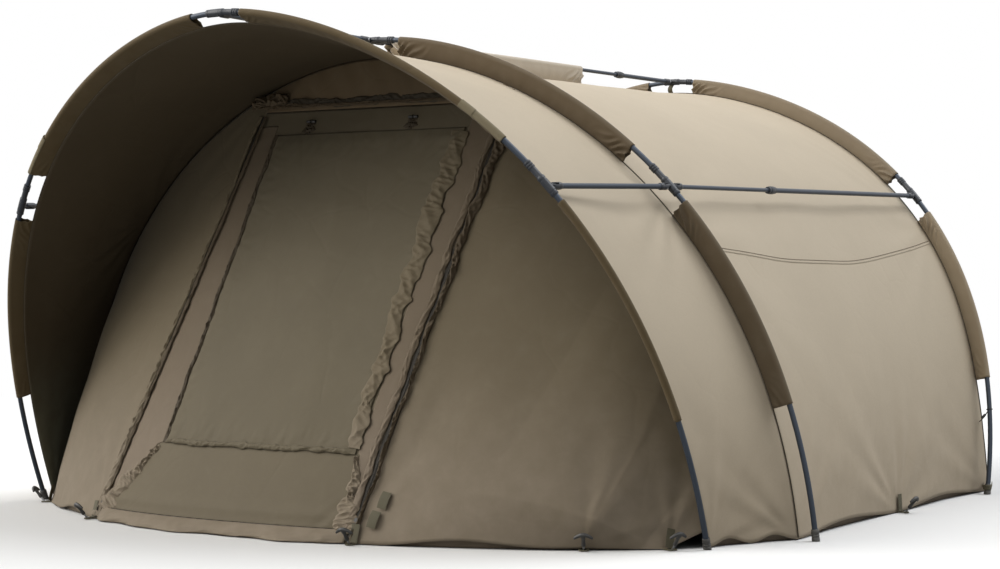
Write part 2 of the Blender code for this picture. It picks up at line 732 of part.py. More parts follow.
def sleeve_runs():
    """Station numbers of the four sleeved lengths of a rib."""
    upper = list(range(CROWN_WINDOW, WINDOW_TOP + 1))
    lower = list(range(WINDOW_FOOT, SLEEVE_END + 1))
    return [[side * number for number in run] for side in (-1, 1) for run in (upper, lower)]


def tail_line(rib, numbers, lift):
    """Points just off the seam under a rib, towards its pole."""
    path = [rib.point(rib.station(number)) for number in numbers]
    edges = [EDGES[rib.name](number) for number in numbers]
    clear = FABRIC / 2 + 2 * GAP + lift
    return path, [edge + unit(point - edge) * clear for point, edge in zip(path, edges)]


for rib in RIBS:
    pockets, strip = Solid(), Solid()
    for run in sleeve_runs():
        path, tails = tail_line(rib, run, SEAM_STRIP / 4)
        pocket(pockets, np.array(path), tails, turning_bore(POLE_RADIUS))
    numbers = list(range(-SLEEVE_END, SLEEVE_END + 1))
    path, low = tail_line(rib, numbers, 0)
    path, high = tail_line(rib, numbers, SEAM_STRIP)
    runs = unit(np.gradient(np.array(low), axis=0))
    rings = []
    for along, bottom, top in zip(runs, low, high):
        side_way = unit(np.cross(along, top - bottom)) * FABRIC * STRIP_SHARE
        rings.append([bottom + side_way, top + side_way, top - side_way, bottom - side_way])
    strip.loft(rings)
    sleeve = make(rib.name + "_sleeve", strip, "sleeve")
    combine(sleeve, "pockets", pockets, "UNION")

# The pocket that the top rear bar runs through, sewn along the ridge of the roof
top_bar = rear_bars[1]
path, tails = [], []
for share in np.linspace(0, 1, 5)[:-1]:
    ridge = bay_point(0, share, mid_edge, rear_edge)
    lift = bay_normal(0, mid_edge, rear_edge)
    path.append(ridge)
    tails.append(ridge + lift * (FABRIC / 2 + 2 * GAP))
reach = np.array([(point - top_bar.clip_hub) @ -top_bar.along for point in path])
full = np.linalg.norm(top_bar.clip_hub - top_bar.hinge_hub)
wanted = np.unique(np.concatenate([[TOP_SLEEVE_START, TOP_SLEEVE_SHARE * full],
                                   reach[(reach > TOP_SLEEVE_START)
                                         & (reach < TOP_SLEEVE_SHARE * full)]]))
tails = np.array([[np.interp(distance, reach, np.array(tails)[:, axis]) for axis in range(3)]
                  for distance in wanted])
path = np.array([top_bar.clip_hub - top_bar.along * distance for distance in wanted])
ridge_pocket = Solid()
pocket(ridge_pocket, path, tails, turning_bore(FORK_RADIUS))
make("top_bar_sleeve", ridge_pocket, "sleeve")


# Front: hem line, wings, valance and door
def hem_point(x, lift=0.0):
    """The front hem: bowed out in front of the doorway, back towards the corners."""
    bow = (abs(x) / HEM_CORNER_X) ** HEM_BULGE_POWER
    y = HEM_FRONT_Y + (HEM_CORNER_Y - HEM_FRONT_Y) * bow
    return np.array([x, y - DEPTH_MIDDLE, HEM + lift])


def canopy_hang(index):
    """Where the front is sewn in, under the seam of the middle rib."""
    share = mid_rib.station(index)
    return mid_edge(index) + (FABRIC / 2 + HUNG_GAP) * mid_rib.inward(share)


def canopy_side(side, rib_share, bay_share):
    """A point just inside the hood at a place between two stations."""
    shares = np.array(front_rib.shares)
    spot = np.interp(rib_share, shares, np.arange(LAST + 1))
    low = min(int(spot), LAST - 1)
    rest = spot - low
    first = bay_point(side * low, bay_share, front_edge, mid_edge)
    second = bay_point(side * (low + 1), bay_share, front_edge, mid_edge)
    normal = bay_normal(side * low, front_edge, mid_edge)
    return first + rest * (second - first) - normal * (FABRIC / 2 + 4 * HUNG_GAP)


def wing_edge(side, last_station):
    """The wing's upper edge: up the hood from the corner, then along the middle rib's seam."""
    points = [canopy_side(side, rib_share, bay_share) for rib_share, bay_share in EDGE_SHARES]
    numbers = range(SLEEVE_END - 1, abs(last_station) - 1, -1)
    return points + [canopy_hang(side * number) for number in numbers]


def ruled(lower, upper, rows):
    """Straight lines from a lower edge to an upper edge, as a grid of rows."""
    lower, upper = np.array(lower), np.array(upper)
    steps = np.linspace(0, 1, rows)[:, None, None]
    return lower[None] + steps * (upper - lower)[None]


def front_normals(grid):
    """Outward directions of a front panel: square to it, and towards the doorway."""
    down = np.gradient(grid, axis=0)
    across = np.gradient(grid, axis=1)
    normals = unit(np.cross(down, across))
    return np.where(normals[..., 1:2] > 0, -normals, normals)


def wing(name, side, last_station, hem_x):
    """A side panel of the front, from its corner to the zip."""
    edge = wing_edge(side, last_station)
    count = len(edge)
    steps = np.linspace(0, 1, count)
    xs = side * HEM_CORNER_X + (hem_x - side * HEM_CORNER_X) * steps
    low_share, high_share = HEM_LIFT_SHARES
    arch = np.clip((steps - low_share) / (high_share - low_share), 0, 1)
    hem = [hem_point(x, HEM_RISE * math.sin(math.pi * share) ** 2) for x, share in zip(xs, arch)]
    grid = ruled(hem, edge, 5)
    panel = Solid()
    panel.sheet(grid, front_normals(grid), FABRIC)
    make(name, panel, "front")
    return grid


left_wing = wing("left_wing", -1, DOOR_LEFT_STATION, DOOR_LEFT_HEM_X)
right_wing = wing("right_wing", 1, DOOR_RIGHT_STATION, DOOR_RIGHT_HEM_X)


def on_zip(grid, share):
    """A point on the straight line of a zip, from the hem to the middle rib's seam."""
    return grid[0, -1] + share * (grid[-1, -1] - grid[0, -1])


seam_left, seam_right = [on_zip(wing_grid, share) for wing_grid, share
                         in zip((left_wing, right_wing), DOOR_TOP_SHARES)]
seam_along = unit(seam_right - seam_left)
numbers = range(DOOR_LEFT_STATION, DOOR_RIGHT_STATION + 1)
upper = [canopy_hang(number) for number in numbers]
upper[0], upper[-1] = left_wing[-1, -1], right_wing[-1, -1]
seam_shares = [(point[0] - upper[0][0]) / (upper[-1][0] - upper[0][0]) for point in upper]
lower = [seam_left + share * (seam_right - seam_left) for share in seam_shares]
lower = [point + unit(top - point) * HINGE_GAP for point, top in zip(lower, upper)]
grid = ruled(lower, upper, 3)
valance = Solid()
valance.sheet(grid, front_normals(grid), FABRIC)
make("valance", valance, "front")


# The door: straight at its hinge seam, bowed at its hem, with a window in it
def door_point(u, w, proud=0.0):
    """A point of the door: u from the left zip to the right, w from the hem to the seam."""
    x = DOOR_LEFT_HEM_X + u * (DOOR_RIGHT_HEM_X - DOOR_LEFT_HEM_X)
    foot = hem_point(x)
    head = seam_left + u * (seam_right - seam_left)
    head = head + unit(foot - head) * GAP
    point = foot + w * (head - foot)
    fold = DOOR_FOLD * math.sin(math.pi * w) * math.sin(math.pi * u) ** 2
    crease = math.sin(2 * math.pi * (1.5 * u + 0.8 * w))
    return point + door_out * (proud + fold * (0.6 + 0.4 * crease))


centre = (seam_left + seam_right) / 2
door_out = unit(np.cross(seam_along, centre - hem_point(centre[0])))
if door_out[1] > 0:
    door_out = -door_out


def across_window(w):
    """Shares across the door from the window's left side to its right, at one height."""
    low_w, high_w = WINDOW_W_SHARES
    climb = (w - low_w) / (high_w - low_w)
    foot, head = np.array(WINDOW_FOOT_U_SHARES), np.array(WINDOW_HEAD_U_SHARES)
    left_u, right_u = foot + climb * (head - foot)
    return np.linspace(left_u, right_u, WINDOW_COLUMNS)


def across_door(w):
    """Shares across the door at one height, from zip to zip, the window's among them."""
    window = across_window(w)
    return np.concatenate([[0.0, window[0] / 2], window, [(1 + window[-1]) / 2, 1.0]])


def door_grid(across, ws, proud=0.0):
    """Points of the door at heights up it, and at the shares that across gives for each."""
    return np.array([[door_point(u, w, proud) for u in across(w)] for w in ws])


def door_sheet(name, across, ws, proud, thickness, finish, origin, used=None):
    """A panel that lies on the door's own surface."""
    grid = door_grid(across, ws, proud)
    piece = Solid()
    piece.sheet(grid, np.broadcast_to(door_out, grid.shape), thickness, used)
    return make(name, piece, finish, origin)


low_w, high_w = WINDOW_W_SHARES
upward = np.linspace(low_w, high_w, 2 * FLAP_RIPPLES + 1)
door_ws = np.concatenate([[0.0, low_w / 2], upward, [1.0]])
panel_grid = door_grid(across_door, door_ws)
used = np.ones((panel_grid.shape[0] - 1, panel_grid.shape[1] - 1), dtype=bool)
used[3:-2, 3:-3] = False
for column in (1, -2):
    for row in range(2, len(door_ws) - 2):
        panel_grid[row, column] += door_out * FLAP_RIPPLE * (0.5 + (-1) ** row)
door = Solid()
door.sheet(panel_grid, np.broadcast_to(door_out, panel_grid.shape), FABRIC, used)
make("door_panel", door, "front", centre)
behind = -(FABRIC / 2 + MESH_THICKNESS / 2 + GAP)
door_sheet("window_mesh", across_window, upward, behind, MESH_THICKNESS, "mesh", centre)
before = FABRIC + 2 * GAP
hinge_row = across_window(high_w)
hinge_left, hinge_right = [door_point(u, high_w, before) for u in (hinge_row[0], hinge_row[-1])]
cover_hinge = (hinge_left + hinge_right) / 2
door_sheet("window_cover", across_window, upward, before, FABRIC, "window", cover_hinge)


def hem_outward(x):
    """Level direction square to the front hem, away from the tent."""
    along = hem_point(x + SMALL_STEP) - hem_point(x - SMALL_STEP)
    return unit(np.array([along[1], -along[0], 0]))


# Zip sliders on the two zip lines, over the zip
zip_lines = {}
for word, wing_grid in (("left", left_wing), ("right", right_wing)):
    zip_foot = wing_grid[0, -1]
    run, out, side_way = square_frame(wing_grid[-1, -1] - zip_foot, hem_outward(zip_foot[0]))
    lift = FABRIC / 2 + DOOR_CLEAR + SLIDER_HEIGHT / 2
    start = wing_grid[0, -1] + run * (SLIDER_START + SLIDER_LENGTH / 2) + out * lift
    slider = Solid()
    box(slider, start, (run, side_way, out), (SLIDER_LENGTH / 2, SLIDER_WIDTH / 2, SLIDER_HEIGHT / 2))
    make("zip_slider_" + word, slider, "peg", start)
    zip_lines[word] = (start, run)

# Toggles that hold the rolled window cover
toggle_places = {}
toggle_row = (panel_grid[-2] + panel_grid[-1]) / 2
toggle_us = (across_door(door_ws[-2]) + across_door(door_ws[-1])) / 2
for word, u in zip(("left", "right"), TOGGLE_U_SHARES):
    base = np.array([np.interp(u, toggle_us, toggle_row[:, axis]) for axis in range(3)])
    spot = base + door_out * (FABRIC / 2 + GAP + TOGGLE_RADIUS)
    _, along, _ = square_frame(door_out, seam_along)
    barrel = Solid()
    half = TOGGLE_LENGTH / 2
    barrel.loft(turned_rings(spot, along, door_out, [
        (-half, TOGGLE_RADIUS / 2), (TOGGLE_RADIUS / 2 - half, TOGGLE_RADIUS),
        (half - TOGGLE_RADIUS / 2, TOGGLE_RADIUS), (half, TOGGLE_RADIUS / 2)]))
    make("toggle_" + word, barrel, "peg", spot)
    toggle_places[word] = spot


# Pegs through webbing loops at the hem
side_share = (PEG_SIDE_Y - MID_FOOT_Y) / (REAR_FOOT_Y - MID_FOOT_Y)
side_hem = bay_point(LAST, side_share, mid_edge, rear_edge)
left_corner, right_corner = hem_point(-HEM_CORNER_X), hem_point(HEM_CORNER_X)
foot_way = np.array([PEG_RIGHT_FOOT[0], PEG_RIGHT_FOOT[1] - DEPTH_MIDDLE, 0]) - right_corner
beside = LOOP_WIDTH / 2 + SEAM_GAP
left_x, right_x = DOOR_LEFT_HEM_X - beside, DOOR_RIGHT_HEM_X + beside
peg_places = [
    ("peg_door_left", "left_wing", hem_point(left_x), hem_outward(left_x)),
    ("peg_door_right", "right_wing", hem_point(right_x), hem_outward(right_x)),
    ("peg_wing", "right_wing", hem_point(PEG_WING_X), hem_outward(PEG_WING_X)),
    ("peg_corner_left", "left_wing", left_corner, unit(foot_way * (-1, 1, 0))),
    ("peg_corner_right", "right_wing", right_corner, unit(foot_way * (1, 1, 0))),
    ("peg_side_left", "rear_bay_left", side_hem * (-1, 1, 1), np.array([-1, 0, 0])),
    ("peg_side_right", "rear_bay_right", side_hem, np.array([1, 0, 0])),
]

lean = math.radians(PEG_LEAN_DEG)
for name, owner, hem, outward in peg_places:
    level = np.array([hem[0], hem[1], 0])
    sideways = np.array([-outward[1], outward[0], 0])
    reach = LOOP_LENGTH - LOOP_TUCK - LOOP_BAND
    ground = level + outward * (reach - GAP - PEG_SHAFT_RADIUS / math.cos(lean)
                                - PEG_LOOP * math.tan(lean))
    axis = outward * math.sin(lean) + np.array([0, 0, math.cos(lean)])
    neck = PEG_SHAFT_LENGTH + PEG_NECK_LENGTH
    shaft, head, loop = Solid(), Solid(), Solid()
    rings = turned_rings(ground, axis, sideways, [
        (0, PEG_SHAFT_RADIUS), (PEG_SHAFT_LENGTH, PEG_SHAFT_RADIUS),
        (PEG_SHAFT_LENGTH + OVERRUN, PEG_NECK_RADIUS), (neck, PEG_NECK_RADIUS)])
    shaft.loft([level_ring(rings[0], axis, 0)] + rings[1:])
    _, across, over = square_frame(axis, sideways)
    span, rise, high = PEG_HEAD_HALF_SPAN, PEG_HEAD_RISE, PEG_HEAD_HEIGHT
    outline = [(0, high), (-span / 2, high / 4), (-span, -rise), (-span / 2, -high / 2),
               (0, -high / 4), (span / 2, -high / 2), (span, -rise), (span / 2, high / 4)]
    crown = ground + axis * neck
    corners = [crown + across * far + axis * height - over * PEG_HEAD_DEPTH / 2
               for far, height in outline]
    head.prism(corners, over * PEG_HEAD_DEPTH)
    peg = make(name, shaft, "peg", ground)
    combine(peg, "head", head, "UNION", use_self=True)
    rings = []
    for shrink in (0, LOOP_BAND):
        near, far = shrink - LOOP_TUCK, LOOP_LENGTH - LOOP_TUCK - shrink
        wide = LOOP_WIDTH / 2 - shrink
        corners = ((near, -wide), (far, -wide), (far, wide), (near, wide))
        rings.append(np.array([level + outward * distance + sideways * width
                               for distance, width in corners]))
    up = np.array([0, 0, PEG_LOOP])
    loop.pipe([rings[0], rings[0] + up], [rings[1], rings[1] + up])
    combine(bpy.data.objects[owner], name + "_loop", loop, "UNION")
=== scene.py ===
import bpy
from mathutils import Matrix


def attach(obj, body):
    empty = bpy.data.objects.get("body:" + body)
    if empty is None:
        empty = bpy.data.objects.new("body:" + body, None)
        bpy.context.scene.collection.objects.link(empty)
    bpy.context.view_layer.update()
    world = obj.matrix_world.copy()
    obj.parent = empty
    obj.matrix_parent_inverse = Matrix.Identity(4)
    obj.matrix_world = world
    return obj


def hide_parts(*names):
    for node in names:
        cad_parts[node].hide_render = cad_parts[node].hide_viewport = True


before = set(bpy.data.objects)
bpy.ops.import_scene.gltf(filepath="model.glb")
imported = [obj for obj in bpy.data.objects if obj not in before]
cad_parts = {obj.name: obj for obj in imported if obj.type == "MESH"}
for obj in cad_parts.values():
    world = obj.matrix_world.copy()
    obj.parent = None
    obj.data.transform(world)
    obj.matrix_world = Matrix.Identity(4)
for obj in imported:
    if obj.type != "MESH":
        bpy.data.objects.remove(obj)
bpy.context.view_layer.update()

import math

import bpy
import numpy as np
from mathutils import Matrix, Vector

# The studio. A pale floor, a white surround and soft broad light: a cool lamp overhead, and warmer ones
# high, low and in front on the left. The camera stands where the photographer stood, low down in front
# of the tent's right corner, with a long lens.
CAMERA_PLACE = (4.233, -5.823, 0.748)
CAMERA_YAW, CAMERA_PITCH, CAMERA_ROLL = math.radians(35.45), math.radians(-0.22), -0.009
LENS = 77.36
SKY_COLOUR, SKY_LOW, SKY_HIGH = (0.97, 0.99, 1.03), 0.06, 0.62
WARM = (1.0, 0.97, 0.92)
LAMPS = (("overhead_lamp", 1.60, 40.0, (0.46, 0.44, 1.0), (0.98, 1.0, 1.03)),
         ("left_lamp", 1.17, 40.0, (-0.87, -0.55, 1.03), WARM),
         ("low_lamp", 1.07, 36.0, (-0.80, -0.66, 0.34), WARM),
         ("front_lamp", 0.39, 44.0, (-0.25, -1.0, 0.75), WARM))
FLOOR_SEEN, FLOOR_THROWN = (0.86, 0.86, 0.85), (0.34, 0.34, 0.33)
FLOOR_SIZE, FLOOR_FADE = 60.0, (3.2, 7.5)

scene = bpy.context.scene
scene.view_settings.view_transform = "Standard"
forward = Vector((-math.sin(CAMERA_YAW) * math.cos(CAMERA_PITCH),
                  math.cos(CAMERA_YAW) * math.cos(CAMERA_PITCH), math.sin(CAMERA_PITCH)))
level = Vector((math.cos(CAMERA_YAW), math.sin(CAMERA_YAW), 0))
above = level.cross(forward)
right = level * math.cos(CAMERA_ROLL) + above * math.sin(CAMERA_ROLL)
above = above * math.cos(CAMERA_ROLL) - level * math.sin(CAMERA_ROLL)
lens = bpy.data.cameras.new("camera")
lens.lens, lens.sensor_width = LENS, 36.0
lens.clip_end = 200
camera = bpy.data.objects.new("camera", lens)
camera.matrix_world = Matrix((
    (right.x, above.x, -forward.x, CAMERA_PLACE[0]), (right.y, above.y, -forward.y, CAMERA_PLACE[1]),
    (right.z, above.z, -forward.z, CAMERA_PLACE[2]), (0, 0, 0, 1)))
scene.collection.objects.link(camera)
scene.camera = camera

for lamp_name, strength, spread, way, colour in LAMPS:
    lamp = bpy.data.lights.new(lamp_name, "SUN")
    lamp.energy, lamp.angle, lamp.color = strength, math.radians(spread), colour
    lamp_piece = bpy.data.objects.new(lamp_name, lamp)
    lamp_piece.rotation_euler = Vector(way).to_track_quat("Z", "Y").to_euler()
    scene.collection.objects.link(lamp_piece)


def feed(tree, node, inputs):
    """Inputs of a node, by name or number, linked to sockets or set to values."""
    for socket, value in inputs.items():
        if hasattr(value, "is_output"):
            tree.links.new(value, node.inputs[socket])
        else:
            node.inputs[socket].default_value = value


def node(tree, kind, inputs=None, **settings):
    """A shader node with its settings, fed with sockets or values."""
    made = tree.nodes.new("ShaderNode" + kind)
    for setting, value in settings.items():
        setattr(made, setting, value)
    feed(tree, made, inputs or {})
    return made


def maths(tree, operation, *values, clamp=False):
    """A math node's result."""
    return node(tree, "Math", dict(enumerate(values)), operation=operation, use_clamp=clamp).outputs[0]


def blend_colour(tree, factor, first, second, kind="MIX"):
    """A colour mix node's result, of sockets or colours."""
    first, second = [value if hasattr(value, "is_output") else (*value, 1) for value in (first, second)]
    return node(tree, "Mix", {0: factor, 6: first, 7: second}, data_type="RGBA", blend_type=kind).outputs[2]


surround = bpy.data.worlds.new("surround")
surround.use_nodes = True
scene.world = surround
tree = surround.node_tree
sky = tree.nodes["Background"]
way_up = node(tree, "SeparateXYZ", {0: node(tree, "TexCoord").outputs["Generated"]})
rise = node(tree, "MapRange", {"To Min": SKY_LOW, "To Max": SKY_HIGH, "Value": way_up.outputs["Z"]})
feed(tree, sky, {"Color": (*SKY_COLOUR, 1), "Strength": rise.outputs["Result"]})
white = node(tree, "Background", {"Color": (1, 1, 1, 1)})
seen = node(tree, "LightPath")
seen_plain = maths(tree, "MAXIMUM", seen.outputs["Is Camera Ray"], seen.outputs["Is Transmission Ray"])
seen_plain = maths(tree, "MAXIMUM", seen_plain, seen.outputs["Is Glossy Ray"])
either_sky = node(tree, "MixShader", {0: seen_plain, 1: sky.outputs[0], 2: white.outputs[0]})
feed(tree, tree.nodes["World Output"], {"Surface": either_sky.outputs[0]})


def floor_material():
    """Pale matt floor that fades to plain white with distance. What it throws back on the tent is
    dimmer than what the camera sees of it."""
    made = bpy.data.materials.new("floor")
    made.use_nodes = True
    tree = made.node_tree
    matt = tree.nodes["Principled BSDF"]
    seen = node(tree, "LightPath").outputs["Is Camera Ray"]
    feed(tree, matt, {"Roughness": 0.9, "Base Color": blend_colour(tree, seen, FLOOR_THROWN, FLOOR_SEEN)})
    far = node(tree, "VectorMath", {0: node(tree, "TexCoord").outputs["Object"]}, operation="LENGTH")
    fade = node(tree, "MapRange", {"From Min": FLOOR_FADE[0], "From Max": FLOOR_FADE[1],
                                   "Value": far.outputs["Value"]}, interpolation_type="SMOOTHSTEP")
    mix = node(tree, "MixShader", {0: maths(tree, "MULTIPLY", fade.outputs["Result"], seen),
                                   1: matt.outputs[0], 2: node(tree, "Emission").outputs[0]})
    feed(tree, tree.nodes["Material Output"], {"Surface": mix.outputs[0]})
    return made


floor_mesh = bpy.data.meshes.new("floor")
half = FLOOR_SIZE / 2
floor_mesh.from_pydata([(-half, -half, -0.001), (half, -half, -0.001), (half, half, -0.001),
                        (-half, half, -0.001)], [], [(0, 1, 2, 3)])
floor_mesh.materials.append(floor_material())
floor_piece = bpy.data.objects.new("floor", floor_mesh)
scene.collection.objects.link(floor_piece)


# The rib poles. Each rib is a sprung arch of 16 mm alloy tube, enamelled dark gunmetal, in two upper
# lengths and two legs that plug into the moulded joints. A rubber cap closes each leg on the ground.
DEPTH_MIDDLE = 0.93635
POLE_RADIUS = 0.008
CAP_RADIUS, CAP_LENGTH, TUBE_GAP = 0.0115, 0.034, 0.001
HUB_STATION, LAST = 8, 14


def rib(half_span, rise, foot_y, lean_deg, pulls, splay_deg, shares):
    """One rib's control points in its own plane, the plane's lean, and its station table."""
    splay, lean = math.radians(splay_deg), math.radians(lean_deg)
    knots = np.array([(0, rise), (half_span * pulls[0], rise),
                      (half_span + pulls[1] * rise * math.sin(splay), pulls[1] * rise * math.cos(splay)),
                      (half_span, 0)])
    return {"knots": knots, "foot_y": foot_y - DEPTH_MIDDLE, "lean": lean, "shares": shares}


RIBS = {
    "front": rib(1.300, 1.600, 0.194, 19.3, (0.35, 0.74), 3.0,
                 (0, .065, .15, .235, .305, .40, .48, .555, .6145, .637, .70, .79, .885, .945, 1)),
    "mid": rib(1.466, 1.496, 0.511, 5.1, (0.38, 0.69), -2.9,
               (0, .065, .15, .235, .305, .37, .44, .508, .581, .608, .655, .765, .866, .935, 1)),
    "rear": rib(1.370, 1.507, 1.951, -9.8, (0.24, 0.82), 2.4,
                (0, .085, .16, .235, .305, .40, .49, .573, .6175, .652, .69, .785, .883, .945, 1)),
}


def unit(vectors):
    """Vectors at length one."""
    vectors = np.asarray(vectors, dtype=float)
    return vectors / np.maximum(np.linalg.norm(vectors, axis=-1, keepdims=True), 1e-12)


def headings(path):
    """Unit directions of a path at each of its points."""
    return unit(np.gradient(path, axis=0))


def square_to(heading, way):
    """The part of a way that is square to a heading, at length one."""
    return unit(way - (way * heading).sum(-1, keepdims=True) * heading)


def run_along(path):
    """The way gone along a path at each of its points."""
    return np.append(0, np.cumsum(np.linalg.norm(np.diff(path, axis=0), axis=-1)))


def on_rib(name, share):
    """Pole centre at a share of the way from the crown, 0, to a foot, 1, negative on the left: a cubic
    Bezier curve in the rib's plane, whose height runs up the leaning plane."""
    part, share = RIBS[name], np.asarray(share, dtype=float)
    reach = np.abs(share)
    weights = np.stack([(1 - reach) ** 3, 3 * reach * (1 - reach) ** 2, 3 * reach ** 2 * (1 - reach),
                        reach ** 3], -1)
    flat = weights @ part["knots"]
    across = np.where(share < 0, -1, 1) * flat[..., 0]
    return np.stack([across, part["foot_y"] - math.sin(part["lean"]) * flat[..., 1],
                     math.cos(part["lean"]) * flat[..., 1]], -1)


def rib_heading(name, share):
    """Unit tangent of the pole, from left to right, by a central difference."""
    share = np.asarray(share, dtype=float)
    return unit(on_rib(name, share + 1e-4) - on_rib(name, share - 1e-4))


def rib_inward(name, share):
    """Unit vector in the rib's plane, square to the pole, towards the tent's inside."""
    lean = RIBS[name]["lean"]
    return np.cross((0, math.cos(lean), math.sin(lean)), rib_heading(name, share))


def station(name, turn):
    """Share of a station number that needn't be whole, read off the rib's table."""
    turn = np.asarray(turn, dtype=float)
    return np.sign(turn) * np.interp(np.abs(turn), np.arange(LAST + 1), RIBS[name]["shares"])


def quad_corners(rows, columns, spans):
    """Corner numbers of a grid's quads, so many spans in a row, round to the first column at the end."""
    row, column = np.meshgrid(np.arange(rows - 1), np.arange(spans), indexing="ij")
    after = (column + 1) % columns
    return np.stack([row * columns + column, row * columns + after, (row + 1) * columns + after,
                     (row + 1) * columns + column], -1)


def quad_facts(points, quads):
    """Middles of quads, and the directions square to them."""
    first, second, third, fourth = (points[quads[:, corner]] for corner in range(4))
    return (first + second + third + fourth) / 4, np.cross(third - first, fourth - second)


def settle(name, mesh, finish, sharp, body, stands_for):
    """Make a mesh a piece: finished, smooth but for its sharp edges, on a body, for its CAD nodes."""
    mesh.materials.append(finish)
    mesh.shade_smooth()
    mesh.set_sharp_from_angle(angle=math.radians(sharp))
    mesh.update()
    piece = bpy.data.objects.new(name, mesh)
    scene.collection.objects.link(piece)
    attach(piece, body)
    if stands_for:
        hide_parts(*stands_for)
    return piece


def skin(name, grid, finish, slot, around=False, thick=0.0, face=None, body="shelter", stands_for=(),
         keep=None, lining=None):
    """A surface from a grid of points with one quad between each four neighbours. around joins the
    last column to the first and closes both rims, thick gives it a wall to the inside, face is
    the way its outside looks, keep masks quads, and lining is a second material for the inside.
    The UV map gives lengths in metres along the rows and the columns."""
    grid = np.asarray(grid, dtype=float)
    rows, columns = grid.shape[:2]
    spans = columns if around else columns - 1
    quads, marks = quad_corners(rows, columns, spans), quad_corners(rows, spans + 1, spans)
    if keep is not None:
        quads, marks = quads[keep], marks[keep]
    quads, marks = quads.reshape(-1, 4), marks.reshape(-1, 4)
    points = grid.reshape(-1, 3)
    centres, normals = quad_facts(points, quads)
    if face is None:
        outward = (normals * (centres - points.mean(0))).sum()
    else:
        outward = (normals * np.asarray(face(centres) if callable(face) else face, dtype=float)).sum()
    way = -1 if outward < 0 else 1
    quads, marks = quads[:, ::way], marks[:, ::way]
    faces = quads.tolist()
    if around:
        faces += [list(range(columns))[::-way], list(range((rows - 1) * columns, rows * columns))[::way]]
    mesh = bpy.data.meshes.new(name)
    mesh.from_pydata(points.tolist(), [], faces)
    closed = np.concatenate([grid, grid[:, :1]], 1) if around else grid
    down = np.linalg.norm(np.diff(closed, axis=0), axis=-1).mean(1)
    across = np.linalg.norm(np.diff(closed, axis=1), axis=-1).mean(0)
    v, u = np.meshgrid(np.append(0, np.cumsum(down)), np.append(0, np.cumsum(across)), indexing="ij")
    flat = np.stack([u, v], -1).reshape(-1, 2)[marks.reshape(-1)]
    flat = np.concatenate([flat, np.zeros((len(mesh.loops) - len(flat), 2))])
    mesh.uv_layers.new(name="lengths").data.foreach_set("uv", flat.astype(np.float32).reshape(-1))
    piece = settle(name, mesh, finish, 50, body, stands_for)
    if thick:
        wall = piece.modifiers.new("wall", "SOLIDIFY")
        wall.thickness, wall.offset = thick, -1
        if lining is not None:
            mesh.materials.append(lining)
            wall.material_offset = 1
    return piece


def sweep(path, radius, sides=20, towards=(0, 0, 1)):
    """A round tube as a grid: each row is a ring square to the path, of its own radius, whose first
    point lies towards the given side."""
    path = np.asarray(path, dtype=float)
    heading = headings(path)
    across = square_to(heading, towards)
    over = np.cross(heading, across)
    turn = np.arange(sides) * 2 * math.pi / sides
    radius = np.broadcast_to(np.asarray(radius, dtype=float), len(path))[:, None, None]
    return (path[:, None] + radius * (np.cos(turn)[None, :, None] * across[:, None]
                                      + np.sin(turn)[None, :, None] * over[:, None]))


def turned(origin, axis, profile, sides=28, towards=None):
    """A lathe shape as a grid: rows of distance along the axis and radius."""
    axis = unit(axis)
    towards = np.array((0, 0, 1.0)) if towards is None else np.asarray(towards, dtype=float)
    if abs(axis @ unit(towards)) > 0.95:
        towards = np.array((1.0, 0, 0))
    across = square_to(axis, towards)
    over = np.cross(axis, across)
    profile = np.asarray(profile, dtype=float)
    turn = np.arange(sides) * 2 * math.pi / sides
    circle = np.cos(turn)[:, None] * across + np.sin(turn)[:, None] * over
    return np.asarray(origin) + profile[:, :1, None] * axis + profile[:, 1:, None] * circle[None]


def node_group(name, inputs, outputs):
    """An empty shader node group with named sockets: a dictionary of name to kind and value."""
    tree = bpy.data.node_groups.new(name, "ShaderNodeTree")
    for socket, (kind, value) in inputs.items():
        made = tree.interface.new_socket(socket, in_out="INPUT", socket_type="NodeSocket" + kind)
        if value is not None:
            made.default_value = value
    for socket, kind in outputs.items():
        tree.interface.new_socket(socket, in_out="OUTPUT", socket_type="NodeSocket" + kind)
    return tree, tree.nodes.new("NodeGroupInput"), tree.nodes.new("NodeGroupOutput")


def noise(tree, vector, scale, detail=3.0, rough=0.5, stretch=(1, 1, 1), seed=0.0):
    """A noise texture's value, on coordinates stretched along the axes."""
    if stretch != (1, 1, 1) or seed:
        vector = node(tree, "Mapping", {"Scale": stretch, "Location": (seed, seed * 0.7, seed * 1.3),
                                        "Vector": vector}).outputs[0]
    return node(tree, "TexNoise", {"Scale": scale, "Detail": detail, "Roughness": rough,
                                   "Vector": vector}).outputs["Fac"]


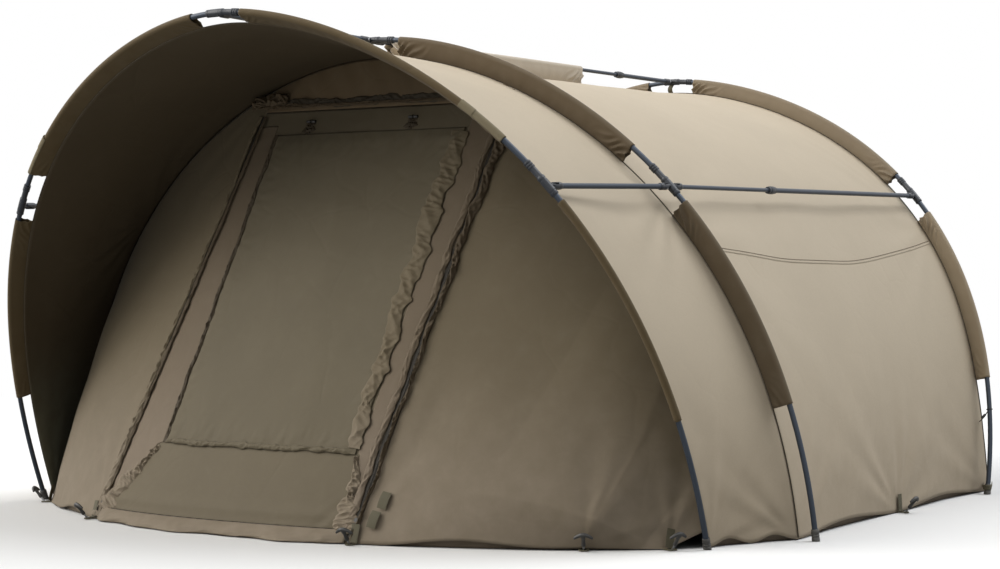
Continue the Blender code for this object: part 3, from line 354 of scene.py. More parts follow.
def worn_group():
    """Scuffs and dust for hard pieces: a mask of fine specks, and a paler dusty tone."""
    tree, inlet, outlet = node_group(
        "worn", {"Vector": ("Vector", None), "Colour": ("Color", (0.1, 0.1, 0.1, 1)),
                 "Dust": ("Float", 0.2)},
        {"Colour": "Color", "Rough": "Float", "Height": "Float"})
    cloud = noise(tree, inlet.outputs["Vector"], 14.0, 5.0, 0.6)
    speck = noise(tree, inlet.outputs["Vector"], 420.0, 3.0, 0.6, seed=3.0)
    dusty = maths(tree, "MULTIPLY", maths(tree, "SMOOTH_MIN", cloud, 0.75, 0.1), inlet.outputs["Dust"])
    pale = blend_colour(tree, dusty, inlet.outputs["Colour"], (0.32, 0.30, 0.26))
    mottled = blend_colour(tree, 0.18, pale, (0.5, 0.5, 0.5), "OVERLAY")
    rough = maths(tree, "MULTIPLY_ADD", cloud, 0.22, 0.24)
    feed(tree, outlet, {"Colour": mottled, "Rough": maths(tree, "MULTIPLY_ADD", speck, 0.10, rough),
                        "Height": speck})
    return tree


WORN = worn_group()


def surface_material(name, group, facts, places, relief, strength=1.0, **shader_inputs):
    """A material whose colour, roughness and height come from a node group. facts are the group's
    values, places the coordinates it takes, and relief the height in metres that one stands for."""
    made = bpy.data.materials.new(name)
    made.use_nodes = True
    tree = made.node_tree
    place = node(tree, "TexCoord")
    facts = facts | {socket: place.outputs[kind] for socket, kind in places.items()}
    wear = node(tree, "Group", facts, node_tree=group)
    bump = node(tree, "Bump", {"Distance": relief, "Strength": strength, "Height": wear.outputs["Height"]})
    feed(tree, tree.nodes["Principled BSDF"], {
        "Base Color": wear.outputs["Colour"], "Roughness": wear.outputs["Rough"],
        "Normal": bump.outputs[0]} | shader_inputs)
    return made


def hard_material(name, colour, metal, dust, grain=0.0002):
    """Enamelled metal or moulded plastic with scuffs, dust and a fine grain."""
    return surface_material(name, WORN, {"Colour": (*colour, 1), "Dust": dust}, {"Vector": "Object"},
                            grain, 0.5, Metallic=metal)


gunmetal = hard_material("gunmetal_enamel", (0.040, 0.053, 0.076), 0.45, 0.05)
rubber = hard_material("foot_rubber", (0.020, 0.020, 0.022), 0.0, 0.45)
RIB_NAMES = ("front", "mid", "rear")
SIDES = (("left", -1), ("right", 1))

for rib_name in RIB_NAMES:
    hub = RIBS[rib_name]["shares"][HUB_STATION]
    for word, side in SIDES:
        share = side * np.linspace(0, hub, 90)
        path = on_rib(rib_name, share)
        path[0] += unit(path[1] - path[0]) * TUBE_GAP
        path[-1] += unit(path[-2] - path[-1]) * TUBE_GAP
        skin(f"{rib_name}_upper_tube_{word}", sweep(path, POLE_RADIUS, 20, rib_inward(rib_name, share)),
             gunmetal, "pole", around=True, stands_for=(f"{rib_name}_pole_{word}",))
        path = on_rib(rib_name, side * np.linspace(hub, 1, 70))
        path[0] += unit(path[1] - path[0]) * TUBE_GAP
        down = unit(path[-1] - path[-2])
        cut = np.linalg.norm(path - path[-1], axis=-1) > CAP_LENGTH * 0.4
        skin(f"{rib_name}_leg_tube_{word}", sweep(path[cut], POLE_RADIUS, 20, (0, 1, 0)),
             gunmetal, "pole", around=True, stands_for=(f"{rib_name}_leg_{word}",))
        profile = [(-CAP_LENGTH, 0.0082), (-CAP_LENGTH, 0.0100), (-CAP_LENGTH + 0.0012, 0.0110),
                   (-CAP_LENGTH * 0.62, CAP_RADIUS), (-CAP_LENGTH * 0.60, 0.0108),
                   (-CAP_LENGTH * 0.54, 0.0108), (-CAP_LENGTH * 0.52, CAP_RADIUS),
                   (-CAP_LENGTH * 0.40, CAP_RADIUS), (-CAP_LENGTH * 0.38, 0.0108),
                   (-CAP_LENGTH * 0.32, 0.0108), (-CAP_LENGTH * 0.30, CAP_RADIUS), (0, CAP_RADIUS)]
        cap = turned(path[-1], down, profile, towards=(0, 1, 0))
        cap[-1] += ((0 - cap[-1, :, 2]) / down[2])[:, None] * down
        skin(f"{rib_name}_foot_{word}", cap, rubber, "fitting", around=True)


# The rib joints. Each is a moulded nylon socket that two pole ends plug into, with a ribbed neck on
# its crown side, a flat lug for each spreader bar, and a steel rivet that the bar hinges on.
HUB_RADIUS, HUB_HALF, NECK_RADIUS, NECK_END, RIM_RADIUS = 0.0116, 0.032, 0.0094, 0.088, 0.0112
LUG_THICK, LUG_HALF, PIN_OFFSET, PIN_RADIUS = 0.006, 0.0075, 0.027, 0.0025
FORK_RADIUS, FORK_NOSE, FORK_BODY, SLOT_DEPTH = 0.0105, 0.008, 0.030, 0.0135
nylon = hard_material("joint_nylon", (0.016, 0.021, 0.031), 0.0, 0.06, grain=0.0003)
steel = hard_material("rivet_steel", (0.42, 0.43, 0.45), 1.0, 0.10)


def cluster(name, grids, finish, body="shelter", stands_for=()):
    """Several closed round grids in one piece: each has rows of rings, with both ends closed."""
    points, faces, count = [], [], 0
    for grid in grids:
        grid = np.asarray(grid, dtype=float)
        rows, columns = grid.shape[:2]
        quads = quad_corners(rows, columns, columns).reshape(-1, 4)
        flat = grid.reshape(-1, 3)
        centres, normals = quad_facts(flat, quads)
        ring_middle = grid.mean(1)
        middles = np.repeat((ring_middle[1:] + ring_middle[:-1]) / 2, columns, axis=0)
        way = 1 if (normals * (centres - middles)).sum() > 0 else -1
        rims = np.arange(columns)[::-way], np.arange((rows - 1) * columns, rows * columns)[::way]
        faces += (quads[:, ::way] + count).tolist() + [(rim + count).tolist() for rim in rims]
        points.append(flat)
        count += len(flat)
    mesh = bpy.data.meshes.new(name)
    mesh.from_pydata(np.concatenate(points).tolist(), [], faces)
    return settle(name, mesh, finish, 38, body, stands_for)


def plate(origin, first, second, through, outline, thickness, edge=0.0008):
    """A flat plate as rings: an outline in two directions, carried through its thickness, with its
    edges drawn in by the edge radius."""
    outline = np.asarray(outline, dtype=float)
    middle = outline.mean(0)
    levels = ((-0.5, 1), (-0.5, 0), (0.5, 0), (0.5, 1))
    rings = []
    for level, drawn in levels:
        inward = unit(middle - outline) * edge * drawn
        flat = outline + inward
        height = level * thickness - math.copysign(edge * (1 - drawn), level)
        rings.append(origin + flat[:, :1] * first + flat[:, 1:] * second + height * through)
    return np.array(rings)


def bar_lines(hinge_rib, clip_rib, side):
    """A spreader bar's hinge, its length, and its directions along, pin and out."""
    share = side * RIBS[hinge_rib]["shares"][HUB_STATION]
    start = on_rib(hinge_rib, share)
    end = on_rib(clip_rib, side * RIBS[clip_rib]["shares"][HUB_STATION])
    along = unit(end - start)
    heading = rib_heading(hinge_rib, share)
    pin = square_to(along, heading)
    out = np.cross(along, pin)
    out = -out if out @ rib_inward(hinge_rib, share) > 0 else out
    return {"start": start, "end": end, "along": along, "pin": pin, "out": out,
            "hinge": start + along * PIN_OFFSET, "length": np.linalg.norm(end - start) - 2 * PIN_OFFSET}


WORD_SIDES = (("left", -1), ("top", 0), ("right", 1))
BARS = {f"front_bar_{word}": bar_lines("mid", "front", side) for word, side in WORD_SIDES}
BARS.update({f"rear_bar_{word}": bar_lines("rear", "mid", side) for word, side in WORD_SIDES})
round_end = np.linspace(-math.pi / 2, math.pi / 2, 12)
lug_outline = [(HUB_RADIUS / 3, -LUG_HALF)] + [
    (PIN_OFFSET + LUG_HALF * math.cos(turn), LUG_HALF * math.sin(turn)) for turn in round_end] + [
    (HUB_RADIUS / 3, LUG_HALF)]
socket = [(-HUB_HALF, 0.0084), (-HUB_HALF, 0.0104), (-0.0302, HUB_RADIUS), (-0.0235, HUB_RADIUS),
          (-0.0228, 0.0106), (-0.0190, 0.0106), (-0.0180, HUB_RADIUS), (0.0180, HUB_RADIUS),
          (0.0190, 0.0106), (0.0228, 0.0106), (0.0235, HUB_RADIUS), (0.0300, HUB_RADIUS),
          (HUB_HALF, 0.0104), (0.0345, NECK_RADIUS), (0.0638, NECK_RADIUS)]
for start in (0.064, 0.0722, 0.0804):
    socket += [(start, RIM_RADIUS - 0.0006), (start + 0.0008, RIM_RADIUS), (start + 0.0048, RIM_RADIUS),
               (start + 0.0056, RIM_RADIUS - 0.0006), (start + 0.0060, NECK_RADIUS)]
socket += [(NECK_END, NECK_RADIUS), (NECK_END, 0.0083)]
socket = np.array(socket)
for rib_name in RIB_NAMES:
    for word, side in WORD_SIDES:
        hub = side * RIBS[rib_name]["shares"][HUB_STATION]
        spots = hub + np.linspace(-0.09, 0.09, 181)
        line = on_rib(rib_name, spots)
        reach = run_along(line)
        reach = (reach - reach[90]) * (-side if side else 1)
        order = np.argsort(reach)
        share = np.interp(socket[:, 0], reach[order], spots[order])
        centre = on_rib(rib_name, share)
        heading = unit(rib_heading(rib_name, share))
        across = rib_inward(rib_name, share)
        over = np.cross(heading, across)
        turn = np.arange(28) * 2 * math.pi / 28
        body = centre[:, None] + socket[:, 1][:, None, None] * (
            np.cos(turn)[None, :, None] * across[:, None] + np.sin(turn)[None, :, None] * over[:, None])
        grids, rivets = [body], []
        for bar_name, bar in BARS.items():
            if not bar_name.endswith(word):
                continue
            place = on_rib(rib_name, hub)
            if np.allclose(bar["start"], place):
                grids.append(plate(place, bar["along"], bar["out"], bar["pin"], lug_outline, LUG_THICK))
                head = FORK_RADIUS * 0.93
                rivets.append(turned(bar["hinge"], bar["pin"], [
                    (-head - 0.0012, 0.0022), (-head - 0.0008, 0.0036), (-head, 0.0042),
                    (-head, PIN_RADIUS), (head, PIN_RADIUS), (head, 0.0042), (head + 0.0008, 0.0036),
                    (head + 0.0012, 0.0022)], 20, bar["out"]))
            elif np.allclose(bar["end"], place):
                grids.append(plate(place, -bar["along"], bar["out"], bar["pin"], lug_outline, LUG_THICK))
        cluster(f"{rib_name}_joint_{word}", grids, nylon,
                stands_for=(f"{rib_name}_hub_{word}",))
        if rivets:
            cluster(f"{rib_name}_joint_rivet_{word}", rivets, steel)


# The spreader bars. Enamelled alloy tubes with a slotted nylon fork at each end. Those in front are
# one length. Those behind slide in two, and a twist collar with a knurled grip locks them.
BAR_RADIUS, INNER_RADIUS = 0.0078, 0.0064
SIDE_OUTER, TOP_OUTER, SIDE_OVERLAP, TOP_OVERLAP = 0.656, 0.2125, 0.16, 0.09
COLLAR_RADIUS, COLLAR_LENGTH, COLLAR_STEP = 0.0125, 0.046, 0.0016


def fork(bar, place, way, tube):
    """An end fork: a turned body with a rounded back, and two cheeks, each a circle cut by a chord,
    |p| > slot, with a rounded nose."""
    body = turned(place, way * bar["along"], [
        (SLOT_DEPTH, FORK_RADIUS - 0.0004), (SLOT_DEPTH + 0.0008, FORK_RADIUS),
        (FORK_BODY - 0.006, FORK_RADIUS), (FORK_BODY - 0.002, FORK_RADIUS - 0.0006),
        (FORK_BODY, FORK_RADIUS - 0.0018), (FORK_BODY, tube - 0.0004)], 24, bar["out"])
    slot = LUG_THICK / 2 + 0.0003
    limit = math.acos(slot / FORK_RADIUS)
    arc = np.linspace(-limit, limit, 15)
    grids = [body]
    for side in (-1, 1):
        outline = np.stack([FORK_RADIUS * np.sin(arc), side * FORK_RADIUS * np.cos(arc)], -1)
        chord = np.linspace(1, -1, 6)[1:-1, None] * np.array([[FORK_RADIUS * math.sin(limit), 0]])
        outline = np.concatenate([outline, chord + (0, side * slot)])
        middle = np.array([0, side * (slot + FORK_RADIUS) / 2])
        rings = []
        for reach, scale in ((-FORK_NOSE, 0.55), (-FORK_NOSE + 0.0008, 0.80), (-FORK_NOSE + 0.0026, 0.95),
                             (-FORK_NOSE + 0.0050, 1.0), (SLOT_DEPTH + 0.0004, 1.0)):
            flat = middle + (outline - middle) * (scale, 1.0)
            flat[:, 1] = np.where(np.abs(flat[:, 1]) > slot + 1e-6, side * (
                slot + (np.abs(flat[:, 1]) - slot) * (0.6 + 0.4 * scale)), flat[:, 1])
            rings.append(place + way * bar["along"] * reach + flat[:, :1] * bar["out"]
                         + flat[:, 1:] * bar["pin"])
        grids.append(np.array(rings))
    return grids


for bar_name, bar in BARS.items():
    hinge, along, length = bar["hinge"], bar["along"], bar["length"]
    clip = hinge + along * length
    if bar_name.startswith("front"):
        profile = [(FORK_BODY - 0.004, BAR_RADIUS), (length - FORK_BODY + 0.004, BAR_RADIUS)]
        cluster(f"{bar_name}_tube", [turned(hinge, along, profile, 24, bar["out"])], gunmetal,
                body=bar_name, stands_for=(bar_name,))
        cluster(f"{bar_name}_forks", fork(bar, hinge, 1, BAR_RADIUS) + fork(bar, clip, -1, BAR_RADIUS),
                nylon, body=bar_name)
        continue
    top = bar_name.endswith("top")
    outer_end = length * (TOP_OUTER if top else SIDE_OUTER)
    inner_start = outer_end - (TOP_OVERLAP if top else SIDE_OVERLAP)
    owner = "shelter" if top else bar_name
    profile = [(FORK_BODY - 0.004, 0.0050), (FORK_BODY - 0.004, BAR_RADIUS), (outer_end, BAR_RADIUS),
               (outer_end, 0.0066)]
    cluster(f"{bar_name}_outer_tube", [turned(hinge, along, profile, 24, bar["out"])], gunmetal,
            body=owner, stands_for=(f"{bar_name}_outer",))
    cluster(f"{bar_name}_hinge_fork", fork(bar, hinge, 1, BAR_RADIUS), nylon, body=owner)
    profile = [(inner_start, INNER_RADIUS), (length - FORK_BODY + 0.004, INNER_RADIUS)]
    cluster(f"{bar_name}_inner_tube", [turned(hinge, along, profile, 24, bar["out"])], gunmetal,
            body=f"{bar_name}_inner", stands_for=(f"{bar_name}_inner",))
    cluster(f"{bar_name}_clip_fork", fork(bar, clip, -1, INNER_RADIUS), nylon,
            body=f"{bar_name}_inner")
    start, end = outer_end - COLLAR_LENGTH, outer_end - 0.0003
    step, low = COLLAR_LENGTH / 4, COLLAR_RADIUS - COLLAR_STEP
    profile = [(start, BAR_RADIUS + 0.0005), (start, low - 0.0008), (start + 0.0010, low),
               (start + step - 0.001, low), (start + step, COLLAR_RADIUS - 0.0006),
               (start + step + 0.0010, COLLAR_RADIUS), (end - step - 0.0010, COLLAR_RADIUS),
               (end - step, COLLAR_RADIUS - 0.0006), (end - step + 0.001, low), (end - 0.0010, low),
               (end, low - 0.0008), (end, BAR_RADIUS + 0.0005)]
    collar = turned(hinge, along, profile, 72, bar["out"])
    core = hinge + np.array(profile)[:, :1, None] * along
    grip = np.array([0 if radius < COLLAR_RADIUS else 1 for _, radius in profile])
    ridges = 1 - 0.055 * (np.arange(72) % 4 < 2)[None] * grip[:, None]
    collar = core + (collar - core) * ridges[..., None]
    cluster(f"{bar_name}_twist_collar", [collar], nylon, body=f"{bar_name}_collar",
            stands_for=(f"{bar_name}_collar",))


# The hood. One cut of coated polyester cloth, sewn to the sleeves of the front and middle ribs, tan
# outside and coated dark inside, the inside's darkness partly painted shade. Its own pull draws it in
# a little between the ribs.
FRONT_INSET, FRONT_SETBACK, MID_INSET = 0.026, 0.036, 0.055
REAR_INSET, REAR_TAIL, TAIL_START = 0.045, 0.115, 11
BAY_SAG, HEM, HEM_RISE = 0.012, 0.002, 0.018
CLOTH, MIDDLE_HEIGHT = 0.0012, 0.2
HOOD_WAVES, HOOD_HOLD = ((0.9, 0.005, 3), (0.35, 0.0020, 4)), 1.6
HOOD_CORNER_PULLS = (0.0024, 0.36, 12, ((0, 1), (-1, -1)))
HOOD_WINDOW_PULLS = (120, 0.5, 0.0030, 0.30, 15, ((-1, -1),))
# The lining's dark colour is partly its coating and partly painted shade.
CANOPY_COLOUR, LINING_COLOUR = (0.554, 0.470, 0.350), (0.084, 0.063, 0.037)


def seam(name, turn):
    """The canopy's seam under a rib at station numbers: the pole's centre moved inwards, set back
    towards the middle seam on the front rib, and carried back near the floor on the rear rib."""
    turn = np.asarray(turn, dtype=float)
    share = station(name, turn)
    inset = {"front": FRONT_INSET, "mid": MID_INSET, "rear": REAR_INSET}[name]
    edge = on_rib(name, share) + inset * rib_inward(name, share)
    if name == "front":
        return edge + FRONT_SETBACK * unit(seam("mid", turn) - edge)
    if name == "rear":
        drop = np.maximum(0, np.abs(turn) - TAIL_START) / (LAST - TAIL_START)
        edge = edge + drop[..., None] ** 2 * np.array((0, REAR_TAIL, 0))
    return edge


def taut(turn, share, start, end):
    """Straight lines from seam to seam, drawn in by the sag times 4 s (1 - s), with the outward
    directions: square to the lines and to the seams."""
    first, second = seam(start, turn), seam(end, turn)
    along = (seam(start, turn + 0.05) - seam(start, turn - 0.05)
             + seam(end, turn + 0.05) - seam(end, turn - 0.05))
    outward = -unit(np.cross(second - first, along))
    across = np.asarray(share)[None, :, None]
    cloth = first[:, None] + across * (second - first)[:, None]
    return cloth - outward[:, None] * BAY_SAG * 4 * across * (1 - across), outward


def bay(turn, share, start, end):
    """The cloth between two ribs as a grid, and its outward directions. Below station 13 its rows are
    stretched to the hem, which lifts twice between the ribs."""
    cloth, outward = taut(turn, share, start, end)
    hem = HEM + HEM_RISE * np.sin(2 * math.pi * np.asarray(share)) ** 2
    for side in (-1, 1):
        low = side * turn > LAST - 1
        above = taut(np.array([side * (LAST - 1.0)]), share, start, end)[0][0]
        ground = taut(np.array([side * float(LAST)]), share, start, end)[0][0]
        reach = (above[:, 2] - hem) / (above[:, 2] - ground[:, 2])
        cloth[low] = above + (cloth[low] - above) * reach[None, :, None]
    return cloth, np.broadcast_to(outward[:, None], cloth.shape)


def ripple(points, waves, seed):
    """Soft unevenness in metres: sines in seeded directions, given as wave length, height, number."""
    luck = np.random.default_rng(seed)
    total = np.zeros(points.shape[:-1])
    for length, height, number in waves:
        for aim in unit(luck.normal(size=(number, 3))):
            total += height / math.sqrt(number) * np.sin(
                2 * math.pi * (points @ aim) / length + luck.uniform(0, 2 * math.pi))
    return total


def rays(points, corner, along, up, height, reach, number, seed):
    """Pull lines that fan out from a fixed corner: sines of the angle round the corner between two
    ways, fading with the distance over the reach, and nothing at the corner itself."""
    luck = np.random.default_rng(seed)
    away = points - corner
    distance = np.linalg.norm(away, axis=-1)
    angle = np.arctan2(away @ unit(up), away @ unit(along))
    wave = np.sin(angle * number * 4 + luck.uniform(0, 6) + 1.3 * np.sin(angle * 5 + luck.uniform(0, 6)))
    return height * wave * np.exp(-(distance / reach) ** 1.4) * np.clip(distance / (0.35 * reach), 0, 1)


def surface_facts(grid):
    """Greatest width and length of a grid along its rows and columns, and its area."""
    across = np.linalg.norm(np.diff(grid, axis=1), axis=-1).sum(1).max()
    down = np.linalg.norm(np.diff(grid, axis=0), axis=-1).sum(0).max()
    first, second = grid[1:, 1:] - grid[:-1, :-1], grid[1:, :-1] - grid[:-1, 1:]
    return float(across), float(down), float(np.linalg.norm(np.cross(first, second), axis=-1).sum() / 2)


def cloth_piece(name, grid, finish, slot, held, rests_on, holes=0.0, **how):
    """A sheet of cloth, made by skin from its grid.
    holes is not used."""
    piece = skin(name, grid, finish, slot, **how)


def from_middle(centres):
    """The way to each place from the tent's middle, a hand above the ground."""
    return centres - (0, 0, MIDDLE_HEIGHT)


def from_line(line):
    """A rule that gives the way to each place from the nearest point of a line."""
    return lambda centres: centres - line[np.abs(centres[:, None] - line[None]).sum(-1).argmin(1)]


def cloth_group():
    """Coated plain weave. Height in metres: crossed slubby threads, soft pull marks and the sharp
    lines of old fold creases. Colour: the cloth's own, uneven by a few shares, with pale dust, and
    with the foot colour mixed in near the ground, fading out knee-high: painted shade where that
    colour is darker than the cloth, painted light where it is paler."""
    tree, inlet, outlet = node_group(
        "coated_weave", {"Lengths": ("Vector", None), "Place": ("Vector", None),
                         "Colour": ("Color", (0.4, 0.35, 0.26, 1)), "Uneven": ("Float", 0.10),
                         "Creases": ("Float", 0.4), "Dust": ("Float", 0.15), "Foot": ("Float", 0.0),
                         "Painted Foot Colour": ("Color", (0.46, 0.38, 0.31, 1))},
        {"Colour": "Color", "Rough": "Float", "Height": "Float"})
    given = inlet.outputs
    flat, place = given["Lengths"], given["Place"]
    warp = noise(tree, flat, 1.0, 2.0, 0.5, stretch=(2600.0, 90.0, 1.0))
    weft = noise(tree, flat, 1.0, 2.0, 0.5, stretch=(90.0, 2600.0, 1.0), seed=4.0)
    threads = maths(tree, "ADD", warp, weft)
    pull = noise(tree, place, 3.1, 3.0, 0.55, seed=2.0)
    small = noise(tree, place, 17.0, 4.0, 0.55, seed=5.0)
    wander = node(tree, "TexNoise", {"Scale": 4.0, "Vector": place})
    bend = node(tree, "VectorMath", {0: wander.outputs["Color"], "Scale": 0.16}, operation="SCALE")
    bend = node(tree, "VectorMath", {0: place, 1: bend.outputs[0]}, operation="ADD")
    folds = node(tree, "TexVoronoi", {"Scale": 5.5, "Vector": bend.outputs[0]}, feature="DISTANCE_TO_EDGE")
    edge = node(tree, "MapRange", {"From Max": 0.06, "Value": folds.outputs["Distance"]},
                interpolation_type="SMOOTHSTEP")
    crease = maths(tree, "MULTIPLY", maths(tree, "MULTIPLY", edge.outputs["Result"],
                                           maths(tree, "POWER", pull, 2.0)), given["Creases"])
    height = maths(tree, "MULTIPLY", threads, 0.00006)
    for part, metres in ((pull, 0.0016), (small, 0.00045), (crease, 0.0016)):
        height = maths(tree, "MULTIPLY_ADD", part, metres, height)
    tone = maths(tree, "MULTIPLY_ADD", maths(tree, "SUBTRACT", pull, 0.5), given["Uneven"], 1.0)
    tone = maths(tree, "MULTIPLY_ADD", maths(tree, "SUBTRACT", threads, 1.0), 0.16, tone)
    toned = node(tree, "VectorMath", {0: given["Colour"], "Scale": tone}, operation="SCALE")
    dust = maths(tree, "MULTIPLY", maths(tree, "POWER", small, 3.0), given["Dust"])
    dusty = blend_colour(tree, dust, toned.outputs[0], (0.42, 0.38, 0.30))
    # Painted light and shade near the ground: the foot colour mixed in below knee height.
    low = node(tree, "MapRange", {"From Max": 0.62, "To Min": 1.0, "To Max": 0.0, "Value": node(
        tree, "SeparateXYZ", {0: place}).outputs["Z"]}, interpolation_type="SMOOTHSTEP")
    painted_foot_tone = maths(tree, "MULTIPLY", maths(tree, "MULTIPLY", low.outputs["Result"], given["Foot"]),
                 maths(tree, "ADD", small, 0.5), clamp=True)
    feed(tree, outlet, {"Colour": blend_colour(tree, painted_foot_tone, dusty, given["Painted Foot Colour"]),
                        "Rough": maths(tree, "MULTIPLY_ADD", small, 0.16, 0.60), "Height": height})
    return tree


COATED_WEAVE = cloth_group()


# The foot share and its colour paint the cloth near the ground: a paler colour is painted light, a darker
# one painted shade.
def cloth_material(name, colour, uneven=0.10, creases=0.4, dust=0.15, sheen=0.06, foot=0.0,
                   painted_foot_tone=(0.46, 0.38, 0.31)):
    """Coated cloth with its weave, creases and dust, and a faint sheen."""
    return surface_material(name, COATED_WEAVE, {
        "Colour": (*colour, 1), "Uneven": uneven, "Creases": creases, "Dust": dust, "Foot": foot,
        "Painted Foot Colour": (*painted_foot_tone, 1)}, {"Lengths": "UV", "Place": "Object"}, 1.0, **{
            "Sheen Weight": sheen, "Sheen Roughness": 0.5, "Specular IOR Level": 0.24})


# The canopy's darker, browner foot colour is painted shade near the ground.
canopy_cloth = cloth_material("canopy_cloth", CANOPY_COLOUR, foot=0.34, painted_foot_tone=(0.32, 0.235, 0.15))
# The lining's paler, greener foot colour is painted light thrown up from low down.
hood_lining = cloth_material("hood_lining", LINING_COLOUR, creases=0.5, dust=0.05, sheen=0.0, foot=0.8,
                             painted_foot_tone=(0.20, 0.21, 0.155))
BAY_TURNS = np.linspace(-LAST, LAST, 421)


def drawn_bay(share, start, end, hold, waves, seed, corner_pulls, window_pulls):
    """A bay's grid, uneven by its waves away from its seams, with pull lines from its hem's corners and
    from the sleeves' windows. Corner pulls have a height, a reach, a seed and their columns, each with
    the way ahead; window pulls also say how many rows the windows lie from the crown, and their slant."""
    cloth, outward = bay(BAY_TURNS, share, start, end)
    swell = ripple(cloth, waves, seed)
    height, reach, luck, columns = corner_pulls
    for row in (0, -1):
        for column, ahead in columns:
            swell += rays(cloth, cloth[row, column], (0, ahead, 0), (0, 0, 1), height, reach, 3,
                          luck + column)
    rows, slant, height, reach, luck, columns = window_pulls
    for side in (-1, 1):
        for column, ahead in columns:
            window = cloth[len(BAY_TURNS) // 2 + side * rows, column]
            swell += rays(cloth, window, (0, ahead, 0), (side * slant, 0, 1), height, reach, 4,
                          luck + column)
    held_in = np.minimum(1, 4 * share * (1 - share) * hold)[None, :]
    return cloth + outward * (held_in * swell)[..., None]


hood = drawn_bay(np.linspace(0, 1, 45), "front", "mid", HOOD_HOLD, HOOD_WAVES, 11, HOOD_CORNER_PULLS,
                 HOOD_WINDOW_PULLS)
cloth_piece("hood", hood, canopy_cloth, "canopy", "stretched", ("front_sleeve", "mid_sleeve"), thick=CLOTH,
            face=from_middle, stands_for=("front_bay_left", "front_bay_right"), lining=hood_lining)


# The main canopy. The roof and both sides in the same cloth, stretched from the middle rib to the
# rear one. Pull lines fan out from its corners and from the windows in the sleeves.
CANOPY_WAVES, CANOPY_HOLD = ((1.3, 0.006, 3), (0.45, 0.0022, 4)), 1.4
CANOPY_CORNER_PULLS = (0.0032, 0.44, 24, ((0, 1), (48, 1), (-1, -1)))
CANOPY_WINDOW_PULLS = (140, 0.3, 0.0036, 0.42, 28, ((0, 1), (-1, -1)))
canopy = drawn_bay(np.linspace(0, 1, 97), "mid", "rear", CANOPY_HOLD, CANOPY_WAVES, 23,
                   CANOPY_CORNER_PULLS, CANOPY_WINDOW_PULLS)
cloth_piece("canopy", canopy, canopy_cloth, "canopy", "stretched", ("mid_sleeve", "rear_sleeve"),
            thick=CLOTH, face=from_middle, stands_for=("rear_bay_left", "rear_bay_roof", "rear_bay_right"),
            lining=hood_lining)


# The back wall. A single panel sewn to the rear seam and drawn down to a hem that bows out behind.
# It hangs a little hollow between the two, with soft waves.
BACK_HEM_Y, WALL_HUNG, WALL_FOOT_INSET = 2.150, 0.0019, 0.0038
WALL_HOLLOW, WALL_WAVES = 0.010, ((0.8, 0.006, 3), (0.3, 0.002, 4))
turn_back = np.linspace(-LAST + 1, LAST - 1, 241)
top = seam("rear", turn_back) + WALL_HUNG * rib_inward("rear", station("rear", turn_back))
corner = top[-1]
foot_share = (seam("rear", float(LAST))[0] - WALL_FOOT_INSET) / corner[0]
bow = 1 - (top[:, 0] / corner[0]) ** 2
foot = np.stack([top[:, 0] * foot_share, corner[1] + (BACK_HEM_Y - DEPTH_MIDDLE - corner[1]) * bow,
                 np.full(len(top), HEM)], -1)
fall = np.linspace(0, 1, 61)[:, None, None]
wall = top[None] + fall * (foot - top)[None]
hang = np.sin(math.pi * fall[..., 0]) * np.clip(bow, 0, 1)[None]
wall[..., 1] -= hang * (WALL_HOLLOW + ripple(wall, WALL_WAVES, 31))
cloth_piece("back_panel", wall, canopy_cloth, "canopy", "hung", ("rear_sleeve", "canopy"), thick=CLOTH,
            face=(0, 1, 0), stands_for=("back_wall",), lining=hood_lining)


# The pole sleeves. Loops of darker cloth with their tails caught in the canopy's seams. Each stops
# short of the joints, with a turned end, and the pull there draws slanting gathers into the cloth.
SLEEVE_RADIUS, SLEEVE_TAIL = 0.0108, 0.0016
SLEEVE_COLOURS = {"front": (0.104, 0.072, 0.032), "mid": (0.131, 0.097, 0.058),
                  "rear": (0.255, 0.203, 0.138)}
# The lower runs take each sleeve's colour times these shares: a little darker on the front and middle ribs,
# paler on the rear one.
SLEEVE_LOWER_SHARES = {"front": 0.95, "mid": 0.95, "rear": 1.35}
SLEEVE_GATHERS = {"front": 0.0022, "mid": 0.0070, "rear": 0.0070}
SLEEVE_RUNS = {"upper": (1, 7, 150), "lower": (9, 12, 110)}
STRAP_ENDS = {"left": 7.0, "right": 6.8}
FLANK, NOSE = 16, 15
GATHER_PITCH, GATHER_FADE, GATHER_SLANT, SLEEVE_SLACK = 0.036, 0.080, 1.9, 0.0016


def sleeve_grid(pole, tail, radius):
    """A teardrop along a pole: from the tail up one flank, round the pole, and down the other. A flank
    is straight from the tail to where it touches the circle, whose cosine is radius over depth."""
    heading = headings(pole)
    down = tail - pole
    down = down - (down * heading).sum(-1, keepdims=True) * heading
    depth = np.linalg.norm(down, axis=-1)
    down = down / depth[:, None]
    over = np.cross(heading, down)
    touch = np.arccos(np.clip(radius / depth, -1, 1))
    climb = np.linspace(0, 1, FLANK + 1)
    spin = np.linspace(0, 1, NOSE + 2)[1:-1]
    a, b = radius * np.cos(touch), radius * np.sin(touch)
    up_x = depth[:, None] + climb * (a - depth)[:, None]
    up_y = SLEEVE_TAIL / 2 + climb * (b - SLEEVE_TAIL / 2)[:, None]
    angle = touch[:, None] + spin * (2 * math.pi - 2 * touch)[:, None]
    x = np.concatenate([up_x, radius * np.cos(angle), up_x[:, ::-1]], 1)
    y = np.concatenate([up_y, radius * np.sin(angle), -up_y[:, ::-1]], 1)
    side = np.concatenate([1 - climb, np.zeros(NOSE), 1 - climb[::-1]])
    sign = np.concatenate([np.ones(FLANK + 1), np.zeros(NOSE), -np.ones(FLANK + 1)])
    points = pole[:, None] + x[..., None] * down[:, None] + y[..., None] * over[:, None]
    return points, side, sign, over


